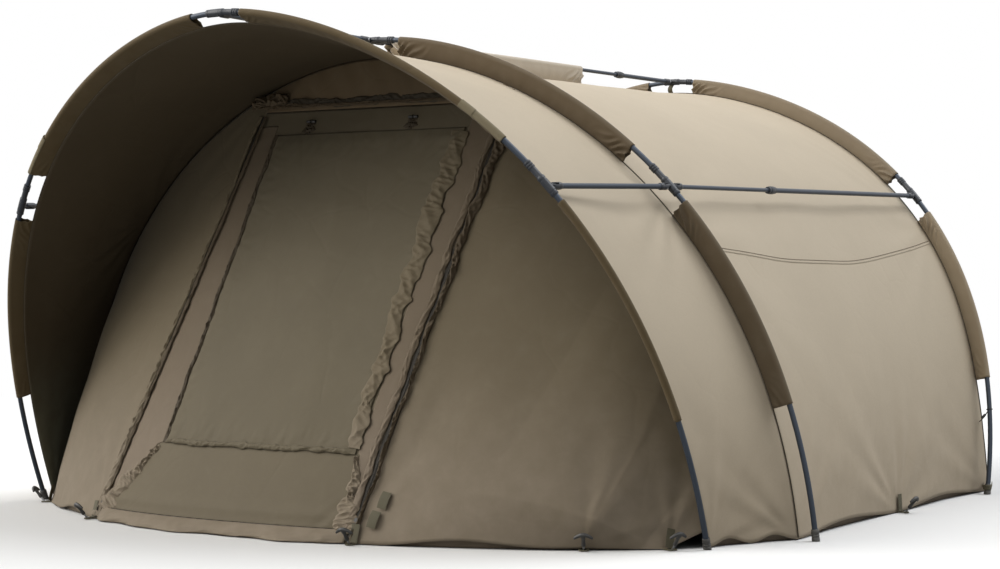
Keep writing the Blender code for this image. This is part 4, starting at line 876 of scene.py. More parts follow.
def gathers(along, side, ends, seed):
    """Depth of the slanting gathers: folds, 1 - 2 |sin|, whose phase runs along the sleeve and up its
    side, strong by a window and fading over a hand's width. Near the tail come small puckers in
    bunches, and all along a faint unevenness."""
    luck = np.random.default_rng(seed)
    total = np.zeros((len(along), len(side)))
    for place, way, strong in ends:
        away = np.abs(along - place)[:, None]
        phase = math.pi * ((along - place)[:, None] * way / GATHER_PITCH + side[None] * GATHER_SLANT)
        phase = phase + 0.9 * np.sin(2 * math.pi * away / 0.11 + luck.uniform(0, 6))
        total += strong * np.exp(-(away / GATHER_FADE) ** 2) * (1.5 - 2 * np.abs(np.sin(phase)))
    bunches = np.clip(np.sin(2 * math.pi * along / 0.23 + luck.uniform(0, 6)) + np.sin(
        2 * math.pi * along / 0.087 + luck.uniform(0, 6)), 0, 2)[:, None]
    total += 0.0007 * bunches * side[None] ** 3 * np.sin(2 * math.pi * along / 0.019)[:, None]
    faint = np.sin(2 * math.pi * along / 0.17 + luck.uniform(0, 6)) * np.sin(
        2 * math.pi * along / 0.071 + luck.uniform(0, 6))
    return total + 0.0008 * faint[:, None]


def sleeve(name, pole, tail, radius, finish, held, ends, seed, slack, full=0.7, thick=0.0007, stands_for=()):
    """A sleeve round a pole, puffed out by its gathers and by its slack."""
    grid, flank, sign, over = sleeve_grid(pole, tail, radius)
    bow = np.sin(math.pi * flank)
    puff = sign * (gathers(run_along(pole), flank, ends, seed) * bow ** full + slack * bow)
    cloth_piece(name, grid + over[:, None] * puff[..., None], finish, "sleeve", held, ("canopy",),
                thick=thick, face=from_line(pole), stands_for=stands_for)


sleeve_seed = 40
for rib_name in RIB_NAMES:
    stands_for = (f"{rib_name}_sleeve",)
    colour = np.array(SLEEVE_COLOURS[rib_name])
    finish = {"upper": cloth_material(f"{rib_name}_sleeve_cloth", colour, uneven=0.16, creases=0.7),
              "lower": cloth_material(f"{rib_name}_sleeve_lower_tone", colour * SLEEVE_LOWER_SHARES[rib_name],
                                      uneven=0.16, creases=0.7)}
    strong = SLEEVE_GATHERS[rib_name]
    for word, side in SIDES:
        for place, (first, last, rows) in SLEEVE_RUNS.items():
            if rib_name == "front" and place == "upper":
                last = STRAP_ENDS[word]
            turns = side * np.linspace(first, last, rows)
            pole = on_rib(rib_name, station(rib_name, turns))
            edge = seam(rib_name, turns)
            end = run_along(pole)[-1]
            ends = {"upper": [(0.0, 1, strong), (end, 1, strong)],
                    "lower": [(0.0, -1, strong * 1.2), (end, 1, strong * 0.4)]}[place]
            sleeve(f"{rib_name}_sleeve_{place}_{word}", pole, edge + unit(pole - edge) * 0.0002,
                   SLEEVE_RADIUS, finish[place], "stretched", ends, sleeve_seed, SLEEVE_SLACK,
                   stands_for=stands_for)
            stands_for = ()
            sleeve_seed += 1


# The ridge sleeve and the seams. A loose, gathered pocket along the roof's ridge holds the top rear
# bar. Flat felled seams cross the sides, each with a dark line beside it that is painted shadow in its
# fold, and a thin piping, dark as painted shadow, closes the seam under each rib.
RIDGE_RADIUS, RIDGE_START, RIDGE_SHARE = 0.0128, 0.085, 0.6485
PIPING_RADIUS, FELL_WIDTH, FELL_LIFT, ROOF_SEAM = 0.0017, 0.011, 0.0012, 10
STITCH_HALF, STITCH_SHARE, STITCH_LIFT = 0.0005, 0.72, 0.00035
bar = BARS["rear_bar_top"]
share = np.linspace(0, 0.8, 120)
ridge, lift = bay(np.array([0.0]), share, "mid", "rear")
ridge, lift = ridge[0] + lift[0] * 0.0014, lift[0]
reach = (ridge - bar["end"]) @ -bar["along"]
full = np.linalg.norm(bar["end"] - bar["start"])
along = np.linspace(RIDGE_START, RIDGE_SHARE * full, 220)
pole = bar["end"] - along[:, None] * bar["along"]
tail = np.stack([np.interp(along, reach, ridge[:, axis]) for axis in range(3)], -1)
ridge_cloth = cloth_material("ridge_sleeve_cloth", (0.640, 0.560, 0.450), uneven=0.16, creases=0.9)
sleeve("ridge_sleeve", pole, tail, RIDGE_RADIUS, ridge_cloth, "gathered",
       [(0.0, -1, 0.0085), (0.10, -1, 0.0095), (0.24, -1, 0.0075), (0.40, 1, 0.0040),
        (along[-1] - along[0], 1, 0.0050)], 77, 0.0035, full=0.6, thick=0.0008,
       stands_for=("top_bar_sleeve",))


def stitch_group():
    """Two rows of lockstitch along a strip: a mask that is one on the threads, where the place across
    is near a row and the length along, taken by the pitch, is in a stitch."""
    tree, inlet, outlet = node_group(
        "lockstitch", {"Lengths": ("Vector", None), "First": ("Float", 0.002), "Second": ("Float", 0.009),
                       "Pitch": ("Float", 0.0035)}, {"Mask": "Float"})
    given = inlet.outputs
    split = node(tree, "SeparateXYZ", {0: given["Lengths"]}).outputs
    first, second = [maths(tree, "ABSOLUTE", maths(tree, "SUBTRACT", split["X"], given[row]))
                     for row in ("First", "Second")]
    near = maths(tree, "LESS_THAN", maths(tree, "MINIMUM", first, second), STITCH_HALF)
    spot = maths(tree, "FRACT", maths(tree, "DIVIDE", split["Y"], given["Pitch"]))
    feed(tree, outlet, {"Mask": maths(tree, "MULTIPLY", near, maths(tree, "LESS_THAN", spot, STITCH_SHARE))})
    return tree


LOCKSTITCH = stitch_group()


def stitched(material, first, second, thread):
    """The same cloth with two rows of thread along it, raised by a third of a millimetre."""
    made = material.copy()
    tree = made.node_tree
    shader = tree.nodes["Principled BSDF"]
    rows = node(tree, "Group", {"First": first, "Second": second, "Lengths": node(
        tree, "TexCoord").outputs["UV"]}, node_tree=LOCKSTITCH).outputs["Mask"]
    colour = shader.inputs["Base Color"].links[0].from_socket
    feed(tree, shader, {"Base Color": blend_colour(tree, rows, colour, thread)})
    bump = shader.inputs["Normal"].links[0].from_node
    height = bump.inputs["Height"].links[0].from_socket
    feed(tree, bump, {"Height": maths(tree, "MULTIPLY_ADD", rows, STITCH_LIFT, height)})
    return made


def seam_strip(name, path, outward, width, finish, lift):
    """A narrow sewn strip along a path: rows down it, seven columns across, crowned by 1 - c^2."""
    across = unit(np.cross(headings(path), outward))
    c = np.linspace(-1, 1, 7)
    strip = path[:, None] + across[:, None] * (c * width / 2)[None, :, None] + outward[:, None] * (
        lift * (1.3 - 0.6 * c ** 2))[None, :, None]
    cloth_piece(name, strip, finish, "canopy", "stretched", ("canopy",), thick=0.0007, face=from_middle)


fell_cloth = stitched(canopy_cloth, 0.0022, FELL_WIDTH - 0.0022, (0.20, 0.16, 0.11))
# A dark tube beside each felled seam is painted shadow in the seam's fold.
fell_shade = cloth_material("seam_fold_painted_shade", (0.150, 0.115, 0.075), uneven=0.1, creases=0.1)
# The piping is near-black as painted shadow in the seams' grooves; the mud flap's seam and the dark binding
# over the door's roll take the same painted shadow.
piping_shadow_cloth = cloth_material("seam_piping_shadow", (0.055, 0.043, 0.028), uneven=0.1, creases=0.1, sheen=0.0)


def on_grid(grid, row, column):
    """Points of a surface at rows and columns that needn't be whole, straight between neighbours."""
    low_row = np.clip(row.astype(int), 0, grid.shape[0] - 2)
    low_column = np.clip(column.astype(int), 0, grid.shape[1] - 2)
    down, right = (row - low_row)[:, None], (column - low_column)[:, None]
    first = grid[low_row, low_column] * (1 - right) + grid[low_row, low_column + 1] * right
    second = grid[low_row + 1, low_column] * (1 - right) + grid[low_row + 1, low_column + 1] * right
    return first * (1 - down) + second * down


canopy_out = unit(np.cross(np.gradient(canopy, axis=0), np.gradient(canopy, axis=1)))
canopy_out = canopy_out * np.sign((canopy_out * (canopy - (0, 0, 0.2))).sum(-1, keepdims=True))
for word, side in SIDES:
    share = np.linspace(0.004, 0.992, 200)
    row = (LAST + side * (ROOF_SEAM + 0.30 * np.sin(math.pi * share))) * (len(canopy) - 1) / (2 * LAST)
    column = share * (canopy.shape[1] - 1)
    line, outward = on_grid(canopy, row, column), on_grid(canopy_out, row, column)
    seam_strip(f"side_seam_{word}", line, outward, FELL_WIDTH, fell_cloth, FELL_LIFT)
    groove = line - unit(np.cross(headings(line), outward)) * side * FELL_WIDTH * 0.6
    cluster(f"side_seam_shade_line_{word}", [sweep(groove + outward * 0.0006, 0.0013, 8)], fell_shade)
    for rib_name in RIB_NAMES:
        turns = side * np.linspace(0, LAST - 0.05, 330)
        path = seam(rib_name, turns)
        pole = on_rib(rib_name, station(rib_name, turns))
        path = path + unit(pole - path) * 0.0010
        cluster(f"{rib_name}_piping_{word}", [sweep(path, PIPING_RADIUS, 8)], piping_shadow_cloth)


# The front's two wings. Brown cloth panels that run from the ground hem up to the hood and to the
# seam under the middle rib, one on each side of the door. Their brown is darkened as painted shade,
# and paler towards the ground as painted light. A peg half way along draws a crease up.
HEM_FRONT_Y, HEM_CORNER_X, HEM_CORNER_Y, HEM_BULGE_POWER = -0.25, 1.21, 0.135, 2.4
HEM_ARCH = (0.32, 0.90)
DOOR_LEFT_X, DOOR_RIGHT_X = -0.70, 0.385
WING_HOOD_PLACES = ((.985, .12), (.945, .42), (.885, .76))
WING_STATIONS = {"left": (11, 3), "right": (11, 4)}
# The front's colour is darkened as painted shade under the hood.
FRONT_SHADED_COLOUR = (0.156, 0.123, 0.074)
CREASE_HEIGHT, CREASE_PLACE, CREASE_SLANT, CREASE_REACH = 0.066, 0.235, 0.16, (0.70, 0.17)
WING_BULGE, WING_WAVES, HOOD_GAP = 0.008, ((0.8, 0.006, 3), (0.3, 0.0022, 4)), 0.0046


def hem_line(x, lift=0.0):
    """The front's ground hem: bowed forward in the middle by a power of the share from the middle."""
    x = np.asarray(x, dtype=float)
    y = HEM_FRONT_Y + (HEM_CORNER_Y - HEM_FRONT_Y) * (np.abs(x) / HEM_CORNER_X) ** HEM_BULGE_POWER
    return np.stack([x, y - DEPTH_MIDDLE, HEM + lift + 0 * x], -1)


def hem_out(x):
    """Level direction square to the front hem, away from the tent."""
    along = hem_line(x + 1e-4) - hem_line(x - 1e-4)
    return unit(np.array([along[1], -along[0], 0]))


def under_seam(turn):
    """Where the front is sewn in, just under the seam of the middle rib."""
    return seam("mid", turn) + WALL_HUNG * rib_inward("mid", station("mid", turn))


def hood_side(side, rib_share, bay_share):
    """A point just inside the hood, at a share down the rib and a share across the hood."""
    turn = side * np.interp(rib_share, RIBS["front"]["shares"], np.arange(LAST + 1))
    cloth, outward = bay(np.array([turn]), np.array([bay_share]), "front", "mid")
    return cloth[0, 0] - outward[0, 0] * HOOD_GAP


def through(knots, spots):
    """A smooth line through knots: a Catmull-Rom curve read at places counted in knots."""
    knots, spots = np.asarray(knots, dtype=float), np.asarray(spots, dtype=float)
    padded = np.concatenate([2 * knots[:1] - knots[1:2], knots, 2 * knots[-1:] - knots[-2:-1]])
    low = np.clip(spots.astype(int), 0, len(knots) - 2)
    rest = (spots - low)[:, None]
    a, b, c, d = (padded[low + step] for step in range(4))
    return 0.5 * (2 * b + (c - a) * rest + (2 * a - 5 * b + 4 * c - d) * rest ** 2
                  + (3 * b - a - 3 * c + d) * rest ** 3)


def to_front(ways):
    """Ways, or their opposites where they look to the back."""
    return np.where(ways[..., 1:2] > 0, -ways, ways)


def face_out(grid):
    """Directions square to a grid, towards the doorway."""
    return to_front(unit(np.cross(np.gradient(grid, axis=0), np.gradient(grid, axis=1))))


def rim(share, steep):
    """Nought at both ends of a share, and rising at a slope to one between them."""
    return np.clip(np.minimum(share, 1 - share) * steep, 0, 1)


# The front's cloth: darkened as painted shade, and paler towards the ground as painted light.
front_shaded_cloth = cloth_material("front_shaded_cloth", FRONT_SHADED_COLOUR, uneven=0.14, creases=0.55, foot=0.24)
WINGS = {}
for word, side, hem_x in (("left", -1, DOOR_LEFT_X), ("right", 1, DOOR_RIGHT_X)):
    high, low = WING_STATIONS[word]
    numbers = np.arange(high, low - 1, -1)
    knots = np.array([hood_side(side, *spot) for spot in WING_HOOD_PLACES]
                     + [under_seam(np.array(float(side * number))) for number in numbers])
    steps = np.linspace(0, 1, 181)
    spots = steps * (len(knots) - 1)
    edge = through(knots, spots)
    exact = spots >= 3
    edge[exact] = under_seam(side * (high - (spots[exact] - 3)))
    x = side * HEM_CORNER_X + (hem_x - side * HEM_CORNER_X) * steps
    arch = np.clip((steps - HEM_ARCH[0]) / (HEM_ARCH[1] - HEM_ARCH[0]), 0, 1)
    hem = hem_line(x, HEM_RISE * np.sin(math.pi * arch) ** 2)
    climb = np.linspace(0, 1, 121)[:, None, None]
    wing = hem[None] + climb * (edge - hem)[None]
    WINGS[word] = wing.copy()
    out = face_out(wing)
    held_in = np.sin(math.pi * climb[..., 0]) ** 0.8 * rim(steps, 9)[None]
    rise = climb[..., 0] + 0 * steps[None]
    crease_at = CREASE_PLACE + CREASE_SLANT * rise
    reach = np.where(steps[None] > crease_at, *CREASE_REACH)
    ridge = 1 - np.minimum(1, np.abs(steps[None] - crease_at) / reach)
    ridge = CREASE_HEIGHT * ridge ** 1.1 * (1 - rise) ** 0.8
    near_zip = 0.006 * np.exp(-((1 - steps[None]) / 0.10) ** 2) * np.sin(2 * math.pi * (
        2.2 * rise + 1.6 * steps[None]))
    bulge = WING_BULGE * np.sin(math.pi * rise) * np.sin(math.pi * np.clip(steps[None] * 1.1, 0, 1))
    pulls = rays(wing, wing[0, 0], (-side, 0, 0), (0, 0, 1), 0.0018, 0.34, 3, 55)
    pulls += rays(wing, wing[0, -1], (side, 0, 0), (0, 0, 1), 0.0034, 0.34, 3, 56)
    pulls += rays(wing, wing[-1, -1], (side, 0, 0), (0, 0, -1), 0.0050, 0.40, 4, 57)
    pulls += rays(wing, wing[0, 41], (1, 0, 0), (0, 0, 1), 0.0030, 0.36, 3, 58) if side > 0 else 0
    wing = wing + out * (held_in * (ripple(wing, WING_WAVES, 51 + side)
                                    + near_zip + bulge + pulls)
                        + ridge * np.clip(0.15 + 7 * rise, 0, 1) * (1 if side > 0 else 0.3))[..., None]
    cloth_piece(f"front_wing_{word}", wing, front_shaded_cloth, "front", "stretched", ("hood", "mid_sleeve"),
                thick=CLOTH, face=(0, -1, 0), stands_for=(f"{word}_wing",), lining=hood_lining)


# The strip above the door. A narrow panel between the door's top zip and the seam under the middle
# rib, a little uneven along its length.
DOOR_TOP_SHARES, HINGE_GAP = {"left": 0.945, "right": 0.975}, 0.0013
STRIP_BULGE, STRIP_WAVES = 0.003, 9


def on_zip(word, share):
    """A point on the straight line of a zip, from the hem to the seam under the rib."""
    low, high = WINGS[word][0, -1], WINGS[word][-1, -1]
    return low + np.asarray(share)[..., None] * (high - low)


seam_left, seam_right = [on_zip(word, DOOR_TOP_SHARES[word]) for word in ("left", "right")]
seam_along = unit(seam_right - seam_left)
upper = under_seam(np.linspace(-3, 4, 141))
upper[0], upper[-1] = WINGS["left"][-1, -1], WINGS["right"][-1, -1]
shares = (upper[:, 0] - upper[0, 0]) / (upper[-1, 0] - upper[0, 0])
lower = seam_left + shares[:, None] * (seam_right - seam_left)
lower = lower + unit(upper - lower) * HINGE_GAP
climb = np.linspace(0, 1, 21)[:, None, None]
strip = lower[None] + climb * (upper - lower)[None]
out = face_out(strip)
strip = strip + out * (STRIP_BULGE * np.sin(math.pi * climb[..., 0]) * (
    1 + np.sin(2 * math.pi * shares[None] * STRIP_WAVES + 3 * climb[..., 0])))[..., None]
# The strip's cloth is darkened as painted shade under the hood.
head_cloth = cloth_material("head_strip_cloth", (0.150, 0.104, 0.056), uneven=0.2, creases=0.6)
cloth_piece("door_head_strip", strip, head_cloth, "front", "stretched", ("mid_sleeve",), thick=CLOTH,
            face=(0, -1, 0), stands_for=("valance",), lining=hood_lining)


# The door. A zipped panel of the front's cloth with a big window of black mesh, hinged on its top
# seam. It hangs a little loose, so it bellies out, and it puckers along its zips and at its corners.
DOOR_FOLD = 0.010
WINDOW_CUT = np.s_[44:178, 17:101]
BORDER_W, BORDER_PROUD, NET_EDGE, NET_PROUD, NET_CLEAR = (0.018, 0.965), 0.0013, 0.006, -0.0020, 0.82
WINDOW_FOOT, WINDOW_HEAD, WINDOW_W = (0.19, 0.92), (0.09, 0.865), (0.19, 0.94)
middle = (seam_left + seam_right) / 2
door_out = to_front(unit(np.cross(seam_along, middle - hem_line(middle[0]))))


def on_door(u, w, proud=0.0):
    """A place on the door: u across from the left zip, w up from the hem, lifted by proud. The door
    bellies out as sin(pi w) sin(pi u) squared, with one slanting crease wave."""
    u, w, proud = np.broadcast_arrays(np.asarray(u, dtype=float), w, proud)
    foot = hem_line(DOOR_LEFT_X + u * (DOOR_RIGHT_X - DOOR_LEFT_X))
    head = seam_left + u[..., None] * (seam_right - seam_left)
    head = head + unit(foot - head) * 0.0003
    point = foot + w[..., None] * (head - foot)
    fold = DOOR_FOLD * np.sin(math.pi * w) * np.sin(math.pi * u) ** 2
    fold = fold * (0.6 + 0.4 * np.sin(2 * math.pi * (1.5 * u + 0.8 * w)))
    return point + door_out * (proud + fold)[..., None]


def window_u(across, w):
    """Share across the door of a share across the window, whose sides lean in towards its head."""
    climb = (w - WINDOW_W[0]) / (WINDOW_W[1] - WINDOW_W[0])
    left = WINDOW_FOOT[0] + climb * (WINDOW_HEAD[0] - WINDOW_FOOT[0])
    right = WINDOW_FOOT[1] + climb * (WINDOW_HEAD[1] - WINDOW_FOOT[1])
    return left + across * (right - left)


def crumple(u, w, seed, number=7, low=3.0, high=14.0):
    """Crushed cloth between -1 and 1: folded sines, 1 - 2 |sin|, whose sharp crests run in seeded
    directions."""
    luck = np.random.default_rng(seed)
    total = np.zeros(np.broadcast(u, w).shape)
    for rate in np.geomspace(low, high, number):
        turn, start = luck.uniform(0, math.pi), luck.uniform(0, 6)
        total += (1 - 2 * np.abs(np.sin(math.pi * rate * (u * math.cos(turn) + w * math.sin(turn))
                                        + start))) / number
    return total * 1.6


w = np.concatenate([np.linspace(0, WINDOW_W[0], 41)[:-1], np.linspace(*WINDOW_W, 141),
                    np.linspace(WINDOW_W[1], 1, 13)[1:]])
beside = np.linspace(0, 1, 15)[:-1]
left_u, right_u = window_u(0.0, w)[:, None], window_u(1.0, w)[:, None]
u_grid = np.concatenate([left_u * beside, left_u + (right_u - left_u) * np.linspace(0, 1, 91),
                         1 - (1 - right_u) * beside[::-1]], 1)
w_grid = np.broadcast_to(w[:, None], u_grid.shape)


def door_lift(u, w):
    """Height of the door's own puckers: along its zips, in its lower corners, and all over."""
    aside = np.minimum(u, 1 - u)
    corner = np.exp(-((aside / 0.12) ** 2 + (w / 0.08) ** 2))
    inside = np.minimum(rim(u, 60), rim(w, 60))
    return inside * (0.0024 * np.exp(-(aside / 0.035) ** 2) * crumple(u * 1.1, w * 2.2, 61)
                     + 0.007 * corner * crumple(u * 2, w * 4, 62)
                     + 0.0016 * crumple(u, w, 63, low=1.5, high=6)
                     + 0.004 * np.exp(-((w - 0.055) / 0.012) ** 2))


door = on_door(u_grid, w_grid, door_lift(u_grid, w_grid))
solid = np.ones((door.shape[0] - 1, door.shape[1] - 1), dtype=bool)
solid[WINDOW_CUT] = False
# The door's cloth is darkened as painted shade, a little deeper than the front's.
door_shaded_cloth = cloth_material("door_shaded_cloth", (0.138, 0.112, 0.070), uneven=0.2, creases=0.6)
down, over = WINDOW_CUT
cut_out = surface_facts(door[down.start:down.stop + 1, over.start:over.stop + 1])[2]
cloth_piece("door_cloth", door, door_shaded_cloth, "front", "hung", ("door_head_strip",), holes=cut_out,
            thick=CLOTH, face=(0, -1, 0), body="door", stands_for=("door_panel",), keep=solid,
            lining=hood_lining)

# The borders' cloth is darkened as painted shade, and paler towards the ground as painted light.
border_cloth = cloth_material("door_border_cloth", (0.152, 0.115, 0.074), uneven=0.16, creases=0.6, foot=0.2)
for word, near, far, low_ends in (("left", 0.004, -0.012, (0.030, 0.162)),
                                  ("right", 0.996, 1.012, (0.965, 0.935))):
    w = np.linspace(*BORDER_W, 220)[:, None]
    edge = np.where(w < WINDOW_W[0], np.interp(w, (BORDER_W[0], WINDOW_W[0]), low_ends), window_u(far, w))
    u = near + (edge - near) * np.linspace(0, 1, 25)[None]
    border = on_door(u, w + 0 * u, door_lift(u, w + 0 * u) + BORDER_PROUD)
    cloth_piece(f"door_border_{word}", border, border_cloth, "front", "stretched", ("door_cloth",),
                thick=0.0008, face=(0, -1, 0), body="door")
mesh_cloth = cloth_material("window_mesh_cloth", (0.020, 0.020, 0.018), uneven=0.1, creases=0.1,
                            dust=0.05, sheen=0.0)
feed(mesh_cloth.node_tree, mesh_cloth.node_tree.nodes["Principled BSDF"], {"Alpha": NET_CLEAR})
across, w = np.meshgrid(np.linspace(0.008, 0.992, 41),
                        np.linspace(WINDOW_W[0] + NET_EDGE, WINDOW_W[1] - NET_EDGE, 61))
net = on_door(window_u(across, w), w, NET_PROUD)
cloth_piece("window_net", net, mesh_cloth, "mesh", "stretched", ("door_cloth",), thick=0.0004,
            face=(0, -1, 0), body="door", stands_for=("window_mesh",))


# The window cover. A flap of thinner, greener cloth, hinged along the window's top and zipped shut
# round its other sides. Its right zip is hidden by a wide crushed strip, its left one by a lip, dark as
# painted shade.
COVER_COLOUR, COVER_PROUD, COVER_PUCKER = (0.132, 0.109, 0.068), 0.0026, 0.0040
SIDE_STRIP_PROUD, SIDE_STRIP_LIFT, SIDE_STRIP_CRUSH, SIDE_STRIP_TILT = 0.0034, 0.002, 0.0095, 0.005
SIDE_STRIP_WIDTHS = ((0, 0.15, 1), (0.056, 0.066, 0.044))
LIP_PROUD, LIP_WIDTH, LIP_LIFT, LIP_CRUSH = 0.0045, 0.015, 0.003, 0.006
FOOT_HEM_UP, FOOT_HEM_PROUD, FOOT_HEM_WIDTH = 0.004, 0.0040, 0.018
FOOT_HEM_LIFT, FOOT_HEM_CRUSH = 0.005, 0.004
cover_cloth = cloth_material("window_cover_cloth", COVER_COLOUR, uneven=0.22, creases=0.6, dust=0.12)
across, w = np.meshgrid(np.linspace(0, 1, 121), np.linspace(*WINDOW_W, 161))
in_w = (w - WINDOW_W[0]) / (WINDOW_W[1] - WINDOW_W[0])
held_in = np.minimum(rim(across, 30), rim(in_w, 30))
sides = np.exp(-(np.minimum(across, 1 - across) / 0.07) ** 2)
ends = np.exp(-(np.minimum(in_w, 1 - in_w) / 0.06) ** 2)
lift = COVER_PROUD + held_in * (
    COVER_PUCKER * sides * np.abs(crumple(across * 0.8, in_w * 2.4, 71, low=4, high=20))
    + COVER_PUCKER * ends * np.abs(crumple(across * 2, in_w, 72))
    + 0.0026 * (1 + crumple(across, in_w * 1.4, 73, low=1, high=5)))
cover = on_door(window_u(across, w), w, lift)
cloth_piece("window_cover_flap", cover, cover_cloth, "window", "hung", ("door_cloth",), thick=0.0009,
            face=(0, -1, 0), body="window_cover", stands_for=("window_cover",))


def crushed_strip(name, line, widths, lift, crush, seed, finish, slot, rests_on, side_way=None,
                  out=door_out, wave=0.0, rows=420, wide=13, folds=(9.0, 62.0), tilt=0.0,
                  lowest=-math.inf, thick=0.0008, body="shelter"):
    """A gathered strip along a line: rows down it and columns across, arched by sin(pi c) times lift,
    with its columns tilted. Its slanting folds, 1 - 2 |sin|, come as many times a metre as folds says,
    in bunches, and stand up by crush. The edge wanders by the depth wave and puckers with the folds.
    widths are one width, or shares of the length and the widths there, and no point lies under
    lowest."""
    if side_way is None:
        side_way = unit(np.cross(out, line[-1] - line[0]))
    along = np.linspace(0, 1, rows)
    middle = np.stack([np.interp(along, np.linspace(0, 1, len(line)), line[:, axis])
                       for axis in range(3)], -1)
    length = np.linalg.norm(line[-1] - line[0])
    c = np.linspace(0, 1, wide)
    width = np.interp(along, *widths) if np.ndim(widths) else np.full(rows, widths)
    drift = wave * (np.sin(2 * math.pi * along * length / 0.31 + seed)
                    + 0.6 * np.sin(2 * math.pi * along * length / 0.13 + 2.1 * seed))
    luck = np.random.default_rng(seed)
    crushed, side = np.zeros((rows, wide)), np.zeros(rows)
    for rate in np.geomspace(*folds, 8):
        slant, start = luck.choice((-1, 1)) * luck.uniform(0.4, 2.0), luck.uniform(0, 6)
        bunch = 0.5 + 0.5 * np.sin(2 * math.pi * along * length / luck.uniform(0.10, 0.35) + 2 * start)
        bunch = bunch * (folds[0] / rate) ** 0.35 * 0.55
        phase = math.pi * rate * along * length + start
        crushed += bunch[:, None] * (1 - 2 * np.abs(np.sin(phase[:, None] + math.pi * slant * c[None])))
        side += bunch * np.sin(phase)
    reach = width[:, None] * (c - 0.5) * (1 + 0.30 * side[:, None]) + drift[:, None]
    edge = np.sin(math.pi * c)[None] ** 0.7 * rim(along, 25)[:, None]
    height = lift * edge + crush * (0.10 + 0.90 * edge) * (0.5 + 0.5 * crushed) + tilt
    grid = middle[:, None] + reach[..., None] * side_way + height[..., None] * out
    grid[..., 2] = np.maximum(grid[..., 2], lowest)
    cloth_piece(name, grid, finish, slot, "gathered", rests_on, thick=thick, face=out, body=body)


on_cover = {"slot": "window", "rests_on": ("window_cover_flap",), "body": "window_cover"}
# The lip's near-black is painted shade along the zip; the crumpled tabs round the toggles take it too.
lip_shade = cloth_material("window_lip_painted_shade", (0.062, 0.046, 0.028), uneven=0.2, creases=0.6, sheen=0.0)
w = np.linspace(0.93, 0.20, 40)
crushed_strip("window_side_strip", on_door(window_u(0.982, w), w, SIDE_STRIP_PROUD),
              SIDE_STRIP_WIDTHS, SIDE_STRIP_LIFT, SIDE_STRIP_CRUSH, 81, front_shaded_cloth, wave=0.006, wide=29,
              tilt=SIDE_STRIP_TILT * np.linspace(1, 0, 29), **on_cover)
w = np.linspace(0.94, 0.19, 40)
crushed_strip("window_side_lip", on_door(window_u(0.0, w), w, LIP_PROUD), LIP_WIDTH, LIP_LIFT, LIP_CRUSH,
              82, lip_shade, wave=0.003, **on_cover)
foot_line = on_door(window_u(np.linspace(0, 1, 40), WINDOW_W[0]), WINDOW_W[0] + FOOT_HEM_UP,
                    FOOT_HEM_PROUD)
crushed_strip("window_foot_hem", foot_line, FOOT_HEM_WIDTH, FOOT_HEM_LIFT, FOOT_HEM_CRUSH, 83, cover_cloth,
              wave=0.0012, **on_cover)


# The door's two zips. Dark woven tapes with moulded teeth, sewn to the wing and to the door, under a
# storm flap of the front's cloth that is sewn to the wing and curls over the teeth, crushed by use. The
# right flap and the left guard are of a dark cloth instead, dark as painted shade.
TAPE_WIDTH, TAPE_THICK, TAPE_PROUD = 0.012, 0.0008, 0.0014
TEETH_PITCH, TEETH_PROUD, TEETH_RADIUS, TEETH_STEP = 0.0030, 0.0022, 0.0011, 0.0007
FLAP_PROUD, GUARD_PROUD, FLAP_ARCH = 0.0062, 0.0036, 0.003
tape_cloth = cloth_material("zip_tape", (0.022, 0.018, 0.013), uneven=0.15, creases=0.1, dust=0.10,
                            sheen=0.0)
teeth_plastic = hard_material("zip_teeth", (0.017, 0.013, 0.009), 0.0, 0.25)
# Dark cloth for the curled flaps: painted shade.
flap_shade = cloth_material("storm_flap_painted_shade", (0.078, 0.056, 0.032), uneven=0.2, creases=0.6, sheen=0.0)
# Of the storm flap and of the guard behind each zip: how far aside they lie, how wide they are from the
# foot up, how deep they are crushed, how far their edge wanders, and their cloth.
STORM_FLAPS = {
    "left": ((0.004, 0.004, 0.019, 0.019), (0.040, 0.026, 0.010, 0.010, 0.024), 0.007, 0.001, front_shaded_cloth),
    "right": ((0.010, 0.010, 0.024, 0.024), (0.012, 0.010, 0.015, 0.036, 0.042), 0.013, 0.004, flap_shade)}
ZIP_GUARDS = {"left": (0.009, (0.017, 0.017, 0.015), 0.004, 0.001, flap_shade),
              "right": (0.020, (0.022, 0.022, 0.016), 0.005, 0.003, border_cloth)}


def squarish(turn, power):
    """A superellipse of half width one, with |x|^(2 / power) + |y|^(2 / power) = 1."""
    x, y = np.cos(turn), np.sin(turn)
    return np.stack([np.sign(x) * np.abs(x) ** power, np.sign(y) * np.abs(y) ** power], -1)


def band(path, over, width, height, sides=12):
    """A flat strap as rings along a path: a superellipse, |x|^4 + |y|^4 = 1, width across the path
    and the way over, height along over."""
    heading = headings(path)
    over = square_to(heading, over)
    across = np.cross(heading, over)
    x, y = squarish((np.arange(sides) + 0.5) * 2 * math.pi / sides, 0.5).T[..., None]
    return path[:, None] + across[:, None] * x * width / 2 + over[:, None] * y * height / 2


